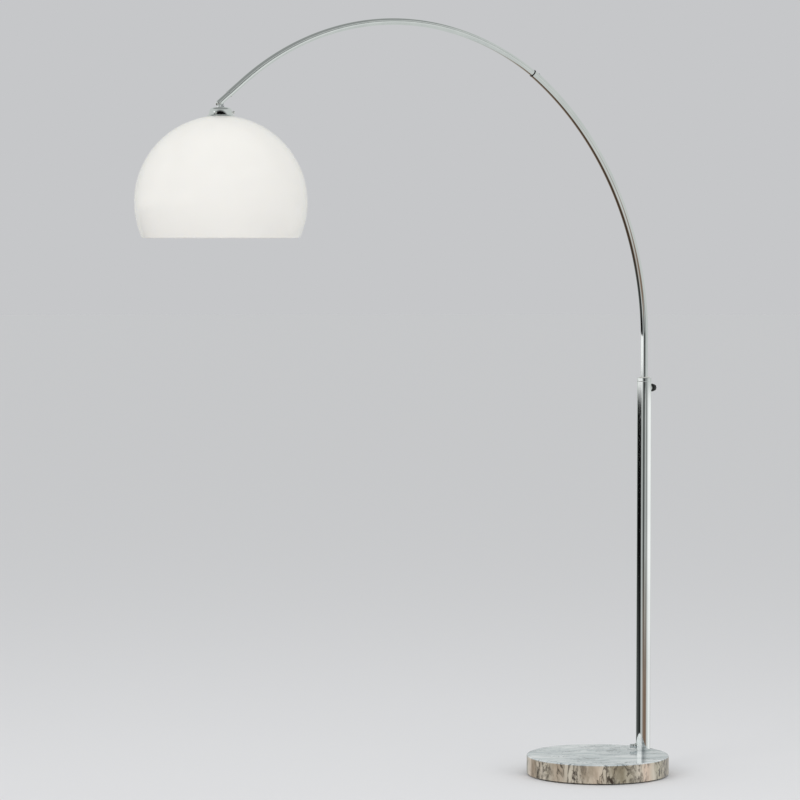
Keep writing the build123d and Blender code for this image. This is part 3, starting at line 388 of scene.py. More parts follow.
across = add_node(tree, "ShaderNodeMapping", {"Vector": drifted, "Rotation": (0, 0, math.radians(75)),
                                              "Scale": (1.0, 0.3, 1.0)}).outputs["Vector"]
broad_veins = vein_lines(drawn_out, vein_spacing, 0.020, 5.0)
fine_veins = vein_lines(across, fine_vein_spacing, 0.016, 6.0)
vein_strength = add_node(tree, "ShaderNodeTexNoise",
                         {"Vector": upright, "Scale": 1 / vein_gap, "Detail": 2.0})
vein_fade = add_node(tree, "ShaderNodeMapRange", {
    "Value": vein_strength.outputs["Fac"], "From Min": 0.38, "From Max": 0.58}).outputs["Result"]
all_veins = add_node(tree, "ShaderNodeMath", {0: broad_veins, 1: fine_veins}, operation="MAXIMUM").outputs[0]
all_veins = add_node(tree, "ShaderNodeMath", {0: all_veins, 1: vein_fade}, operation="MULTIPLY").outputs[0]
top_tone = set_stops(add_node(tree, "ShaderNodeValToRGB", {"Fac": clouds}),
                     [(0.30, "A2ABAE"), (0.42, "C0C8CA"), (0.52, "D8DDDE"), (0.62, "E8EBEB"),
                      (0.75, "F2F3F2")])
top_tone = add_node(tree, "ShaderNodeMix", {"Factor": all_veins, "A": top_tone, "B": linear("56636A")},
                    data_type="RGBA").outputs["Result"]
# Painted shade: the upright side gets its own darker, browner copy of the stone's tones.
side_tone_with_shade = set_stops(add_node(tree, "ShaderNodeValToRGB", {"Fac": clouds}),
                      [(0.30, "7A6F60"), (0.40, "A79C8C"), (0.50, "CFC7B9"), (0.60, "E4DCD0"),
                       (0.75, "F0E9E0")])
bands = grain(tree, band_width, 1.5, (1, 1, 0.1))
band_tone = set_stops(add_node(tree, "ShaderNodeValToRGB", {"Fac": bands}),
                      [(0.36, "B9B7A0"), (0.46, "FAF7F0"), (0.54, "F2E8DC"), (0.62, "F6E0D2")])
side_tone_with_shade = add_node(tree, "ShaderNodeMix", {"Factor": 0.7, "A": side_tone_with_shade, "B": band_tone}, data_type="RGBA",
                     blend_type="MULTIPLY").outputs["Result"]
side_tone_with_shade = add_node(tree, "ShaderNodeMix", {"Factor": all_veins, "A": side_tone_with_shade, "B": linear("4F4638")},
                     data_type="RGBA").outputs["Result"]
stain = add_node(tree, "ShaderNodeTexNoise", {
    "Vector": add_node(tree, "ShaderNodeMapping",
                       {"Vector": stone_place, "Scale": (1, 1, 0.45)}).outputs["Vector"],
    "Scale": 1 / stain_length, "Detail": 5.0, "Roughness": 0.7}).outputs["Fac"]
stained = add_node(tree, "ShaderNodeMapRange", {"Value": stain, "From Min": 0.48, "From Max": 0.60})
patched = add_node(tree, "ShaderNodeMapRange", {
    "Value": grain(tree, patch_width, 1.0, (1, 1, 0.2)), "From Min": 0.44, "From Max": 0.56})
specks = add_node(tree, "ShaderNodeMath", {0: stained.outputs["Result"], 1: patched.outputs["Result"]},
                  operation="MULTIPLY").outputs[0]
side_tone_with_shade = add_node(tree, "ShaderNodeMix", {"Factor": specks, "A": side_tone_with_shade, "B": linear("3A2E24")},
                     data_type="RGBA").outputs["Result"]
height = add_node(tree, "ShaderNodeSeparateXYZ", {"Vector": stone_place}).outputs["Z"]
side_ends = 0.0035
top_starts = 0.0012
on_top = add_node(tree, "ShaderNodeMapRange", {
    "Value": height, "From Min": stone_top - side_ends, "From Max": stone_top - top_starts}).outputs["Result"]
stone_tone = add_node(tree, "ShaderNodeMix", {"Factor": on_top, "A": side_tone_with_shade, "B": top_tone},
                      data_type="RGBA")
stone_rough = add_node(tree, "ShaderNodeMapRange", {"Value": on_top, "To Min": 0.30, "To Max": 0.06})
surface(tree, {"Base Color": stone_tone.outputs["Result"], "Roughness": stone_rough.outputs["Result"],
               "IOR": 1.55, "Coat Weight": 0.25, "Coat Roughness": 0.03})

top_edge = 0.003
stone_bm = turned([(0, stone_low.z), (stone_radius, stone_low.z), (stone_radius, stone_top), (0, stone_top)],
                  192)
lower_rim = [e for e in stone_bm.edges if e.calc_face_angle() > 1 and e.verts[0].co.z < stone_top - top_edge]
ease(stone_bm, lower_rim, 0.0015)
upper_rim = [e for e in stone_bm.edges if e.calc_face_angle() > 1 and e.verts[0].co.z > stone_top - top_edge]
ease(stone_bm, upper_rim, top_edge, 6)
finish_piece(stone_bm, "veined_marble_disc", marble, "stand", ["marble_base"])


# ---------------------------------------------------------------- washer, bolt and foot plug
# Forged and turned steel under the stone and inside the pole's foot, zinc plated against
# damp, which leaves a dull grey skin with a faint spangle.
def softened(node, name, material, body, width=0.0003, corner=35.0):
    """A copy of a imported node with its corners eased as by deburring."""
    bm = bmesh.new()
    bm.from_mesh(frame["nodes"][node].data)
    bmesh.ops.remove_doubles(bm, verts=bm.verts, dist=1e-6)
    bmesh.ops.dissolve_limit(bm, angle_limit=math.radians(0.5), verts=bm.verts, edges=bm.edges)
    piece = finish_piece(bm, name, material, body, [node])
    bevel = piece.modifiers.new("eased_corners", "BEVEL")
    bevel.width = width
    bevel.segments = 2
    bevel.limit_method = "ANGLE"
    bevel.angle_limit = math.radians(corner)
    bevel.use_clamp_overlap = True
    bevel.harden_normals = True
    return piece


def coat(node, material):
    """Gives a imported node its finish."""
    for material_slot in frame["nodes"][node].material_slots:
        material_slot.material = material


def mottled_finish(name, cloud_size, tones, roughness, settings, detail=2.0, stretch=(1, 1, 1),
                   reach=(0.3, 0.7)):
    """A finish that wanders between two tones, and between two roughnesses if it has a pair."""
    material, tree = start_material(name)
    cloud = grain(tree, cloud_size, detail, stretch)
    tone = set_stops(add_node(tree, "ShaderNodeValToRGB", {"Fac": cloud}), list(zip(reach, tones)))
    if isinstance(roughness, tuple):
        roughness = add_node(tree, "ShaderNodeMapRange", {
            "Value": cloud, "From Min": reach[0], "From Max": reach[1], "To Min": roughness[0],
            "To Max": roughness[1]}).outputs["Result"]
    surface(tree, {"Base Color": tone, "Roughness": roughness, **settings})
    return material


zinc_plate = mottled_finish("zinc_plated_steel", 0.0025, ("8E9193", "B4B6B6"), (0.28, 0.45),
                            {"Metallic": 1.0}, 4.0)

softened("base_washer", "pressed_base_washer", zinc_plate, "stand")
softened("base_bolt", "forged_base_bolt", zinc_plate, "stand", 0.0005)
coat("foot_plug", zinc_plate)


# ---------------------------------------------------------------- pole
# Welded steel tube, ground, polished and chromium plated: nearly a mirror, with the
# faintest ripple left by the polishing belt and a few hairline marks from handling, drawn a
# millimetre wide because real ones are too fine to show.
chrome, tree = start_material("chromium_plate")
ripple_length = 0.030
ripple = grain(tree, ripple_length, 2.0, (1, 1, 0.3))
hairline_width = 0.001111
hairlines = grain(tree, hairline_width, 3.0, (1, 1, 0.06))
chrome_tone = set_stops(add_node(tree, "ShaderNodeValToRGB", {"Fac": ripple}),
                        [(0.3, "F0F3F2"), (0.7, "F8FAF9")])
ripple_bump = add_node(tree, "ShaderNodeBump", {"Height": ripple, "Strength": 0.08, "Distance": 0.0002})
chrome_rough = add_node(tree, "ShaderNodeMapRange", {
    "Value": hairlines, "From Min": 0.35, "From Max": 0.75, "To Min": 0.02, "To Max": 0.07})
surface(tree, {"Base Color": chrome_tone, "Metallic": 1.0, "Roughness": chrome_rough.outputs["Result"],
               "Normal": ripple_bump.outputs["Normal"]})

pole_low, pole_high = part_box("pole_tube")
pole_radius = (pole_high.x - pole_low.x) / 2
pole_wall = 0.0015
pole_axis = Vector((pole_middle.x, pole_middle.y, 0))
clamp_height = middle("clamp_screw").z
outlet_height = stone_top + 0.010
outlet_bearing = math.radians(147)
window_half = 0.0045
inside = [(pole_radius - pole_wall, height) for height in (
    pole_low.z, outlet_height - window_half, outlet_height + window_half, clamp_height - window_half,
    clamp_height + window_half, pole_high.z)]
outside = [(pole_radius, height) for radius, height in reversed(inside)]
pole_bm = turned(inside + outside, 128)


def open_window(bm, bearing, height):
    """Cuts a window through a tube's wall, for a fitting whose flange hides its edge."""
    way = Vector((math.cos(bearing), math.sin(bearing), 0))
    gone = []
    for face in bm.faces:
        at = face.calc_center_median()
        beside = Vector((at.x, at.y, 0)).normalized().dot(way)
        if abs(at.z - height) < window_half / 2 and beside > math.cos(math.radians(16)):
            gone.append(face)
    rim = {edge for face in gone for edge in face.edges}
    bmesh.ops.delete(bm, geom=gone, context="FACES")
    bmesh.ops.bridge_loops(bm, edges=[edge for edge in rim if edge.is_valid and edge.is_boundary])


open_window(pole_bm, 0.0, clamp_height)
open_window(pole_bm, outlet_bearing, outlet_height)
ends = [e for e in pole_bm.edges if e.calc_face_angle() > 1 and (
    all(abs(vert.co.z - pole_low.z) < 1e-5 for vert in e.verts)
    or all(abs(vert.co.z - pole_high.z) < 1e-5 for vert in e.verts))]
ease(pole_bm, ends, 0.0003)
finish_piece(pole_bm, "plated_pole_tube", chrome, "stand", ["pole_tube"],
             place=Matrix.Translation(pole_axis))


# ---------------------------------------------------------------- cable outlet and its bush
# A turned nipple with a flange at the pole's foot, and in its mouth a soft clear bush that
# keeps the mains lead off the metal edge.
# Plasticised PVC: clear with a grey cast, a little cloudy, its skin slightly uneven.
clear_pvc = mottled_finish("clear_soft_pvc", 0.002857, ("D2D8D8", "EAEEEE"), (0.12, 0.22),
                           {"IOR": 1.53, "Transmission Weight": 0.55})

outlet_radius = 0.005
outlet_bore = 0.0033
outlet_flange = 0.007
outlet_groove = outlet_radius - 0.0005
outlet_way = Vector((math.cos(outlet_bearing), math.sin(outlet_bearing), 0))
outlet_place = facing(outlet_way, pole_axis + Vector((0, 0, outlet_height)))
outlet_mouth = pole_radius + 0.012
outlet_bm = turned([(outlet_bore, pole_radius - 0.0024), (outlet_radius, pole_radius - 0.0024),
                    (outlet_radius, pole_radius - 0.0006), (outlet_flange, pole_radius - 0.0006),
                    (outlet_flange, pole_radius + 0.0024), (outlet_radius + 0.0004, pole_radius + 0.0030),
                    (outlet_radius, pole_radius + 0.0036), (outlet_radius, pole_radius + 0.0088),
                    (outlet_groove, pole_radius + 0.0092), (outlet_groove, pole_radius + 0.0098),
                    (outlet_radius, pole_radius + 0.0102), (outlet_radius, outlet_mouth),
                    (outlet_bore, outlet_mouth)], 64)
ease_edges(outlet_bm, 0.00025)
finish_piece(outlet_bm, "turned_cable_outlet", chrome, "stand", ["cable_outlet"],
             place=outlet_place)

mouth_end = outlet_mouth + 0.003
mouth_bm = turned([(outlet_bore, outlet_mouth), (outlet_radius, outlet_mouth),
                   (outlet_radius, outlet_mouth + 0.0015), (outlet_radius - 0.001, mouth_end),
                   (outlet_bore, mouth_end)], 48)
ease_edges(mouth_bm, 0.0003)
finish_piece(mouth_bm, "soft_outlet_bush", clear_pvc, "stand", ["outlet_bush"],
             place=outlet_place)


# ---------------------------------------------------------------- collar and liner
# The collar is turned brass, plated like the pole and pushed into its top; the nylon liner
# inside it guides the arm and shows only as a thin lip.
# Nylon: milky off-white, waxy, with turned rings a quarter of a millimetre apart.
natural_nylon = mottled_finish("natural_nylon", 0.002, ("D8D6CE", "E6E4DD"), 0.45,
                               {"IOR": 1.53, "Subsurface Weight": 0.2,
                                "Subsurface Radius": (0.001, 0.001, 0.001), "Subsurface Scale": 1.0},
                               stretch=(1, 1, 8))

collar_low, collar_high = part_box("pole_collar")
arm_radius = 0.0095
liner_radius = arm_radius + 0.0025
groove = 0.0004
collar_bm = turned([(liner_radius, collar_low.z), (pole_radius - pole_wall, collar_low.z),
                    (pole_radius - pole_wall, pole_high.z), (pole_radius - groove, pole_high.z),
                    (pole_radius - groove, pole_high.z + groove), (pole_radius, pole_high.z + 2 * groove),
                    (pole_radius, collar_high.z - 0.0012), (pole_radius - 0.0012, collar_high.z),
                    (liner_radius, collar_high.z)], 128)
ease_edges(collar_bm, 0.0002)
finish_piece(collar_bm, "turned_pole_collar", chrome, "stand", ["pole_collar"],
             place=Matrix.Translation(pole_axis))

liner_low, liner_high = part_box("collar_liner")
running_gap = 0.00008
liner_bm = turned([(arm_radius + running_gap, liner_low.z), (liner_radius - 0.00002, liner_low.z),
                   (liner_radius - 0.00002, collar_high.z), (liner_radius + 0.0009, collar_high.z),
                   (liner_radius, liner_high.z), (arm_radius + running_gap, liner_high.z)], 64)
ease_edges(liner_bm, 0.0002)
finish_piece(liner_bm, "nylon_collar_liner", natural_nylon, "stand", ["collar_liner"],
             place=Matrix.Translation(pole_axis))


# ---------------------------------------------------------------- clamp
# A plated bush through the pole carries a zinc plated stud with a moulded knob outside and
# a nylon shoe inside, which presses on the arm and holds its height.
black_abs, tree = start_material("moulded_black_abs")
# ABS: spark-eroded mould texture, drawn a third of a millimetre wide because the real one
# is too fine to show; half matt, with paler rubbed spots where fingers hold it.
mould_grain_width = 0.0003333
rubbed_spot = 0.004545
mould_grain = grain(tree, mould_grain_width)
rubbed = grain(tree, rubbed_spot, 3.0)
abs_tone = set_stops(add_node(tree, "ShaderNodeValToRGB", {"Fac": rubbed}),
                     [(0.35, "0B0B0B"), (0.75, "191919")])
abs_bump = add_node(tree, "ShaderNodeBump", {"Height": mould_grain, "Strength": 0.2,
                                             "Distance": 0.0001})
abs_rough = add_node(tree, "ShaderNodeMapRange", {
    "Value": rubbed, "From Min": 0.3, "From Max": 0.7, "To Min": 0.32, "To Max": 0.46})
surface(tree, {"Base Color": abs_tone, "Roughness": abs_rough.outputs["Result"], "IOR": 1.53,
               "Normal": abs_bump.outputs["Normal"]})


def fluted(outline, flutes, depth, share, steps):
    """A turned piece whose rim is drawn in at each flute; share is how much of the pitch a flute takes."""
    bm = turned(outline, steps)
    rim = max(radius for radius, height in outline)
    for vert in bm.verts:
        radius = math.hypot(vert.co.x, vert.co.y)
        if radius > rim / 3:
            turn_share = (math.atan2(vert.co.y, vert.co.x) / (2 * math.pi) * flutes) % 1.0
            off_flute = abs(turn_share - 0.5) * 2 / share
            if off_flute < 1:
                drawn = radius - depth * (0.5 + 0.5 * math.cos(math.pi * off_flute)) * radius / rim
                vert.co.x *= drawn / radius
                vert.co.y *= drawn / radius
    return bm


clamp_start = Vector((pole_axis.x, 0, clamp_height))
bush_low, bush_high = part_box("clamp_bush")
bush_out = bush_high.x - pole_axis.x
bush_in = bush_low.x - pole_axis.x
bush_bore = 0.004
bush_neck = 0.006
bush_flange = 0.0075
flange_foot = pole_radius - 0.0022
bush_bm = turned([(bush_bore, bush_in), (bush_neck, bush_in), (bush_neck, flange_foot),
                  (bush_flange, flange_foot), (bush_flange, bush_out - 0.0005),
                  (bush_flange - 0.0005, bush_out), (bush_bore, bush_out)], 64)
ease_edges(bush_bm, 0.00025)
finish_piece(bush_bm, "turned_clamp_bush", chrome, "stand", ["clamp_bush"],
             place=facing((1, 0, 0), clamp_start))

knob_low, knob_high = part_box("clamp_knob")
knob_start = knob_low.x - pole_axis.x
knob_end = knob_high.x - pole_axis.x
knob_rim = (knob_high.z - knob_low.z) / 2
knob_bore = 0.004
knob_flutes = 8
flute_depth = 0.0016
knob_bm = fluted([(knob_bore, knob_start), (knob_rim - 0.0025, knob_start),
                  (knob_rim - 0.0007, knob_start + 0.0008), (knob_rim, knob_start + 0.0022),
                  (knob_rim, knob_start + 0.005), (knob_rim - 0.0011, knob_start + 0.008),
                  (0.0080, knob_end - 0.0018), (0.0072, knob_end - 0.0007), (0.0060, knob_end),
                  (0.0034, knob_end), (0.0028, knob_end - 0.0006), (0.0, knob_end - 0.0006),
                  (0.0, knob_end - 0.004), (knob_bore, knob_end - 0.004)], knob_flutes, flute_depth, 0.5, 96)
finish_piece(knob_bm, "fluted_clamp_knob", black_abs, "clamp_handle", ["clamp_knob"],
             place=facing((1, 0, 0), clamp_start))

coat("clamp_screw", zinc_plate)
coat("clamp_shoe", natural_nylon)


# ---------------------------------------------------------------- arm's foot
# A nylon runner keeps the arm central inside the pole, held by a spring ring that snaps
# on the tube.
# Spring steel: dark, oil-blued, with cloudy tempering colours.
spring_steel = mottled_finish("blued_spring_steel", 0.006667, ("33353A", "55555A"), 0.35,
                              {"Metallic": 1.0}, 3.0)

coat("arm_glide", natural_nylon)
coat("glide_clip", spring_steel)


# ---------------------------------------------------------------- arm tubes
# Two plated steel tubes, bent cold on a ring roller. The thinner one plugs into the mouth
# of the thicker one near the top of the arc.
def start_tube(radius, place, around=48):
    """A bmesh that holds only a tube's first ring, and that ring's edges."""
    bm = bmesh.new()
    bmesh.ops.create_circle(bm, cap_ends=False, radius=radius, segments=around, matrix=place)
    return bm, list(bm.edges)


def run_straight(bm, ring, offset):
    """Carries a tube's last ring straight on."""
    made = bmesh.ops.extrude_edge_only(bm, edges=ring)["geom"]
    bmesh.ops.translate(bm, vec=offset, verts=[part for part in made if isinstance(part, bmesh.types.BMVert)])
    return [part for part in made if isinstance(part, bmesh.types.BMEdge)
            and all(vert in made for vert in part.verts)]


def run_round(bm, ring, centre, angle, steps):
    """Carries a tube's last ring round a bend that lies in the arm's plane."""
    last = bmesh.ops.spin(bm, geom=ring, cent=centre, axis=(0, -1, 0), angle=angle, steps=steps,
                          use_merge=False)["geom_last"]
    return [part for part in last if isinstance(part, bmesh.types.BMEdge)]


def wall_tube(bm, wall):
    """Gives an open tube its wall, inwards."""
    bmesh.ops.remove_doubles(bm, verts=bm.verts, dist=1e-7)
    bmesh.ops.recalc_face_normals(bm, faces=bm.faces)
    bmesh.ops.solidify(bm, geom=bm.faces, thickness=wall)


class Way:
    """A place on the arm's middle line: position, and lean from upright towards the shade."""

    def __init__(self, x, z, lean):
        self.at = Vector((x, 0, z))
        self.lean = lean

    def ahead(self):
        return Vector((-math.sin(self.lean), 0, math.cos(self.lean)))

    def outward(self):
        return Vector((math.cos(self.lean), 0, math.sin(self.lean)))

    def straight_on(self, distance):
        at = self.at + self.ahead() * distance
        return Way(at.x, at.z, self.lean)

    def centre(self, radius):
        return self.at - self.outward() * radius

    def round_on(self, radius, turn):
        later = Way(0, 0, self.lean + turn)
        at = self.centre(radius) + later.outward() * radius
        return Way(at.x, at.z, later.lean)


tube_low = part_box("lower_arc_tube")[0]
straight_length = 0.4576
lower_bend = 0.7935
lower_turn = math.radians(55.46)
joint_bend = 0.060
joint_turn = math.radians(1.91)
upper_bend = 0.7042
upper_turn = math.radians(71.19)
upper_straight = 0.049
upper_radius = 0.008
plug_turn = math.radians(3.3)

foot_way = Way(pole_axis.x, tube_low.z, 0.0)
bend_way = foot_way.straight_on(straight_length)
joint_way = bend_way.round_on(lower_bend, lower_turn)
upper_way = joint_way.round_on(joint_bend, joint_turn)
upper_end = upper_way.round_on(upper_bend, upper_turn)
tube_end = upper_end.straight_on(upper_straight)

lower_bm, ring = start_tube(arm_radius, facing(foot_way.ahead(), foot_way.at))
ring = run_straight(lower_bm, ring, foot_way.ahead() * straight_length)
run_round(lower_bm, ring, bend_way.centre(lower_bend), lower_turn, 72)
wall_tube(lower_bm, 0.0012)
finish_piece(lower_bm, "bent_lower_tube", chrome, "arm", ["lower_arc_tube"])

plug_way = bend_way.round_on(lower_bend, lower_turn - plug_turn)
upper_bm, ring = start_tube(upper_radius, facing(plug_way.ahead(), plug_way.at))
ring = run_round(upper_bm, ring, bend_way.centre(lower_bend), plug_turn, 4)
ring = run_round(upper_bm, ring, joint_way.centre(joint_bend), joint_turn, 3)
ring = run_round(upper_bm, ring, upper_way.centre(upper_bend), upper_turn, 88)
run_straight(upper_bm, ring, upper_end.ahead() * upper_straight)
wall_tube(upper_bm, 0.001)
finish_piece(upper_bm, "bent_upper_tube", chrome, "arm", ["upper_arc_tube"])


# ---------------------------------------------------------------- tube joint
# A black rubber ring closes the step between the two tubes, and one small socket screw on
# the outer side locks them.
# EPDM rubber: dull black with a greyish bloom.
black_rubber = mottled_finish("moulded_rubber", 0.003846, ("0E0E0E", "222222"), 0.7, {"IOR": 1.5}, 3.0,
                              reach=(0.35, 0.75))

ring_length = 0.0025
ring_bm = turned([(upper_radius + 0.00005, 0), (arm_radius, 0), (arm_radius, ring_length * 0.6),
                  (arm_radius - 0.0007, ring_length), (upper_radius + 0.00005, ring_length)], 64)
ease_edges(ring_bm, 0.0002)
finish_piece(ring_bm, "rubber_joint_ring", black_rubber, "arm", ["joint_ring"],
             place=facing(joint_way.ahead(), joint_way.at))


def socket_screw(radius, socket, depth, length):
    """A headless screw along Z from 0 to its length, with a hexagon socket in its outer end."""
    bm = bmesh.new()
    bmesh.ops.create_circle(bm, cap_ends=False, radius=radius, segments=36,
                            matrix=Matrix.Translation((0, 0, length)))
    rim = list(bm.edges)
    hexagon = bmesh.ops.create_circle(bm, cap_ends=False, radius=socket / math.sqrt(3), segments=6,
                                      matrix=Matrix.Translation((0, 0, length)))["verts"]
    mouth = [edge for edge in bm.edges if edge.verts[0] in hexagon and edge.verts[1] in hexagon]
    bmesh.ops.bridge_loops(bm, edges=rim + mouth)
    for start, end in ((rim, length), (mouth, depth)):
        made = bmesh.ops.extrude_edge_only(bm, edges=start)["geom"]
        verts = [part for part in made if isinstance(part, bmesh.types.BMVert)]
        bmesh.ops.translate(bm, vec=(0, 0, -end), verts=verts)
        bmesh.ops.contextual_create(bm, geom=[part for part in made if isinstance(part, bmesh.types.BMEdge)
                                              and all(vert in verts for vert in part.verts)])
    bmesh.ops.recalc_face_normals(bm, faces=bm.faces)
    return bm


screw_back = math.radians(1.1)
screw_way = bend_way.round_on(lower_bend, lower_turn - screw_back)
screw_bm = socket_screw(0.002, 0.002, 0.0012, 0.0025)
ease_edges(screw_bm, 0.0002)
finish_piece(screw_bm, "joint_socket_screw", spring_steel, "arm", ["joint_screw"],
             place=facing(screw_way.outward(), screw_way.at + screw_way.outward() * (upper_radius + 0.00002)))


# ---------------------------------------------------------------- arm end
# A turned and milled plug is pressed into the upper tube. Its slot takes the shade's hook,
# which swings on a round-headed screw with a nut behind.
softened("arm_end_fitting", "milled_arm_end", chrome, "arm", 0.00035)

shade_joint = next(joint for joint in frame["joints"] if joint["name"] == "shade_tilt")
pivot = Vector(shade_joint["pos_m"])
fitting_radius = 0.0072
pin_end = -fitting_radius - 0.0040 - fitting_radius
pin_bm = turned([(0, pin_end), (0.0017, pin_end), (0.002, pin_end + 0.0003), (0.002, 0), (0.0033, 0),
                 (0.0033, 0.0008), (0.0029, 0.0015), (0.0021, 0.0021), (0.0012, 0.0024), (0.0011, 0.0014),
                 (0, 0.0014)], 48)
finish_piece(pin_bm, "pivot_round_head_screw", chrome, "arm", ["pivot_screw"],
             place=facing((0, -1, 0), pivot + Vector((0, -fitting_radius, 0))))
softened("pivot_nut", "pivot_hexagon_nut", chrome, "arm", 0.0003)


# ---------------------------------------------------------------- hook
# A forged eye with a threaded shank hangs from the pivot and goes through the cap's roof,
# where a nut holds it.
softened("shade_hook", "forged_shade_hook", chrome, "shade", 0.0004)
softened("hook_nut", "hook_hexagon_nut", zinc_plate, "shade", 0.0003)


# ---------------------------------------------------------------- cap, thumb screws and neck
# The cap is spun from thin sheet and plated. Three knurled thumb screws through its side
# grip the turned neck, whose flange sits on the dome's crown.
def spun_shell(points, wall, steps=96, shoulders=()):
    """A thin shell spun from an open outline; shoulders are heights and radii of its rounded corners."""
    bm = turned(points, steps, closed=False)
    for height, radius in shoulders:
        corner = [e for e in bm.edges if e.is_manifold and e.calc_face_angle() > math.radians(25)
                  and all(abs(vert.co.z - height) < 1e-5 for vert in e.verts)]
        bmesh.ops.bevel(bm, geom=corner, offset=radius, affect="EDGES", segments=8, profile=0.5, material=-1)
    bmesh.ops.solidify(bm, geom=bm.faces, thickness=wall)
    return bm


cap_low, cap_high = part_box("shade_cap")
cap_axis = Vector(((cap_low.x + cap_high.x) / 2, 0, 0))
cap_rim = (cap_high.x - cap_low.x) / 2
cap_top_radius = cap_rim - 0.0035
cap_wall = 0.0014
cap_bm = spun_shell([(0, cap_high.z), (cap_top_radius * 0.6, cap_high.z - 0.0002),
                     (cap_top_radius, cap_high.z - 0.0012), (cap_rim, cap_low.z)], cap_wall, 128,
                    [(cap_high.z - 0.0012, 0.0058)])
ease_edges(cap_bm, 0.0004)
finish_piece(cap_bm, "spun_shade_cap", chrome, "shade", ["shade_cap"],
             place=Matrix.Translation(cap_axis))

thumb_height = cap_low.z + 0.006
thumb_start = cap_rim - 0.0006 + 0.0003
neck_radius = 0.022
thumb_bm = bmesh.new()
thumb_mesh = bpy.data.meshes.new("thumb_screw")
thumb_bearings = (213, 333, 93)
for thumb_turn in thumb_bearings:
    head = fluted([(0, 0), (0.0022, 0), (0.003, 0.0008), (0.003, 0.0034), (0.0022, 0.0045), (0, 0.0045)], 16,
                  0.0004,
                  1.0, 96)
    shank = turned([(0, neck_radius - thumb_start + 0.0001), (0.0015, neck_radius - thumb_start + 0.0001),
                    (0.0015, 0.0003), (0, 0.0003)], 32)
    way = Vector((math.cos(math.radians(thumb_turn)), math.sin(math.radians(thumb_turn)), 0))
    for part in (head, shank):
        put(part, facing(way, cap_axis + Vector((0, 0, thumb_height)) + way * thumb_start))
        part.to_mesh(thumb_mesh)
        part.free()
        thumb_bm.from_mesh(thumb_mesh)
bpy.data.meshes.remove(thumb_mesh)
finish_piece(thumb_bm, "knurled_thumb_screws", chrome, "shade", ["gallery_screws"])

neck_low, neck_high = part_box("shade_neck")
flange_radius = (neck_high.x - neck_low.x) / 2
shade_low, shade_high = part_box("lamp_shade")
shade_radius = (shade_high.y - shade_low.y) / 2
crown = Vector((cap_axis.x, 0, pivot.z - 0.028))
shade_centre = crown.z - shade_radius


def on_dome(radius):
    """Height of the dome's outside at a distance from its axis."""
    return shade_centre + math.sqrt(shade_radius ** 2 - radius ** 2)


neck_wall = 0.002
seat_radius = cap_rim + 0.001
neck_bm = turned([(neck_radius - neck_wall, neck_low.z), (neck_radius, neck_low.z),
                  (neck_radius, on_dome(neck_radius)), (flange_radius - 0.0005, on_dome(flange_radius)),
                  (flange_radius, on_dome(flange_radius) + 0.0003),
                  (flange_radius, on_dome(flange_radius) + 0.0008), (seat_radius + 0.0012, cap_low.z - 0.0006),
                  (seat_radius, cap_low.z - 0.0002), (neck_radius, cap_low.z - 0.0002),
                  (neck_radius, neck_high.z), (neck_radius - neck_wall, neck_high.z)], 128)
ease_edges(neck_bm, 0.0002)
finish_piece(neck_bm, "turned_shade_neck", chrome, "shade", ["shade_neck"],
             place=Matrix.Translation(cap_axis))


# ---------------------------------------------------------------- nipple and lead entry
# A threaded steel tube runs from the cap's roof down to the lamp holder, with two nuts and
# a soft clear bush where the lead goes in.
nipple_low, nipple_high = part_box("cable_nipple")
nipple_axis = Vector(((nipple_low.x + nipple_high.x) / 2, 0, 0))
nipple_radius = (nipple_high.x - nipple_low.x) / 2
thread_pitch = 0.001
nipple_outline = [(nipple_radius - 0.001, nipple_low.z)]
nipple_height = nipple_low.z
while nipple_height < nipple_high.z - thread_pitch:
    nipple_outline += [(nipple_radius - 0.0004, nipple_height),
                       (nipple_radius, nipple_height + thread_pitch / 2)]
    nipple_height += thread_pitch
nipple_outline += [(nipple_radius - 0.0004, nipple_high.z), (nipple_radius - 0.001, nipple_high.z)]
nipple_bm = turned(nipple_outline, 48)
finish_piece(nipple_bm, "threaded_nipple", zinc_plate, "shade", ["cable_nipple"],
             place=Matrix.Translation(nipple_axis))
softened("nipple_nuts", "nipple_hexagon_nuts", zinc_plate, "shade", 0.0003)

lead_radius = 0.0028
entry_low, entry_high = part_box("nipple_bush")
entry_radius = (entry_high.x - entry_low.x) / 2
entry_bm = turned([(nipple_radius + 0.00005, entry_low.z), (entry_radius, entry_low.z),
                   (entry_radius, entry_low.z + 0.0015), (entry_radius - 0.0012, entry_high.z),
                   (lead_radius + 0.00005, entry_high.z), (lead_radius + 0.00005, nipple_high.z + 0.00005),
                   (nipple_radius + 0.00005, nipple_high.z + 0.00005)], 48)
ease_edges(entry_bm, 0.0002)
finish_piece(entry_bm, "soft_entry_bush", clear_pvc, "shade", ["nipple_bush"],
             place=Matrix.Translation(nipple_axis))


# ---------------------------------------------------------------- shade
# A dome of opal acrylic, blown from warm sheet, its rim sawn and flame polished. It is
# glossy, with one finish inside and out.
opal_acrylic, tree = start_material("opal_acrylic")
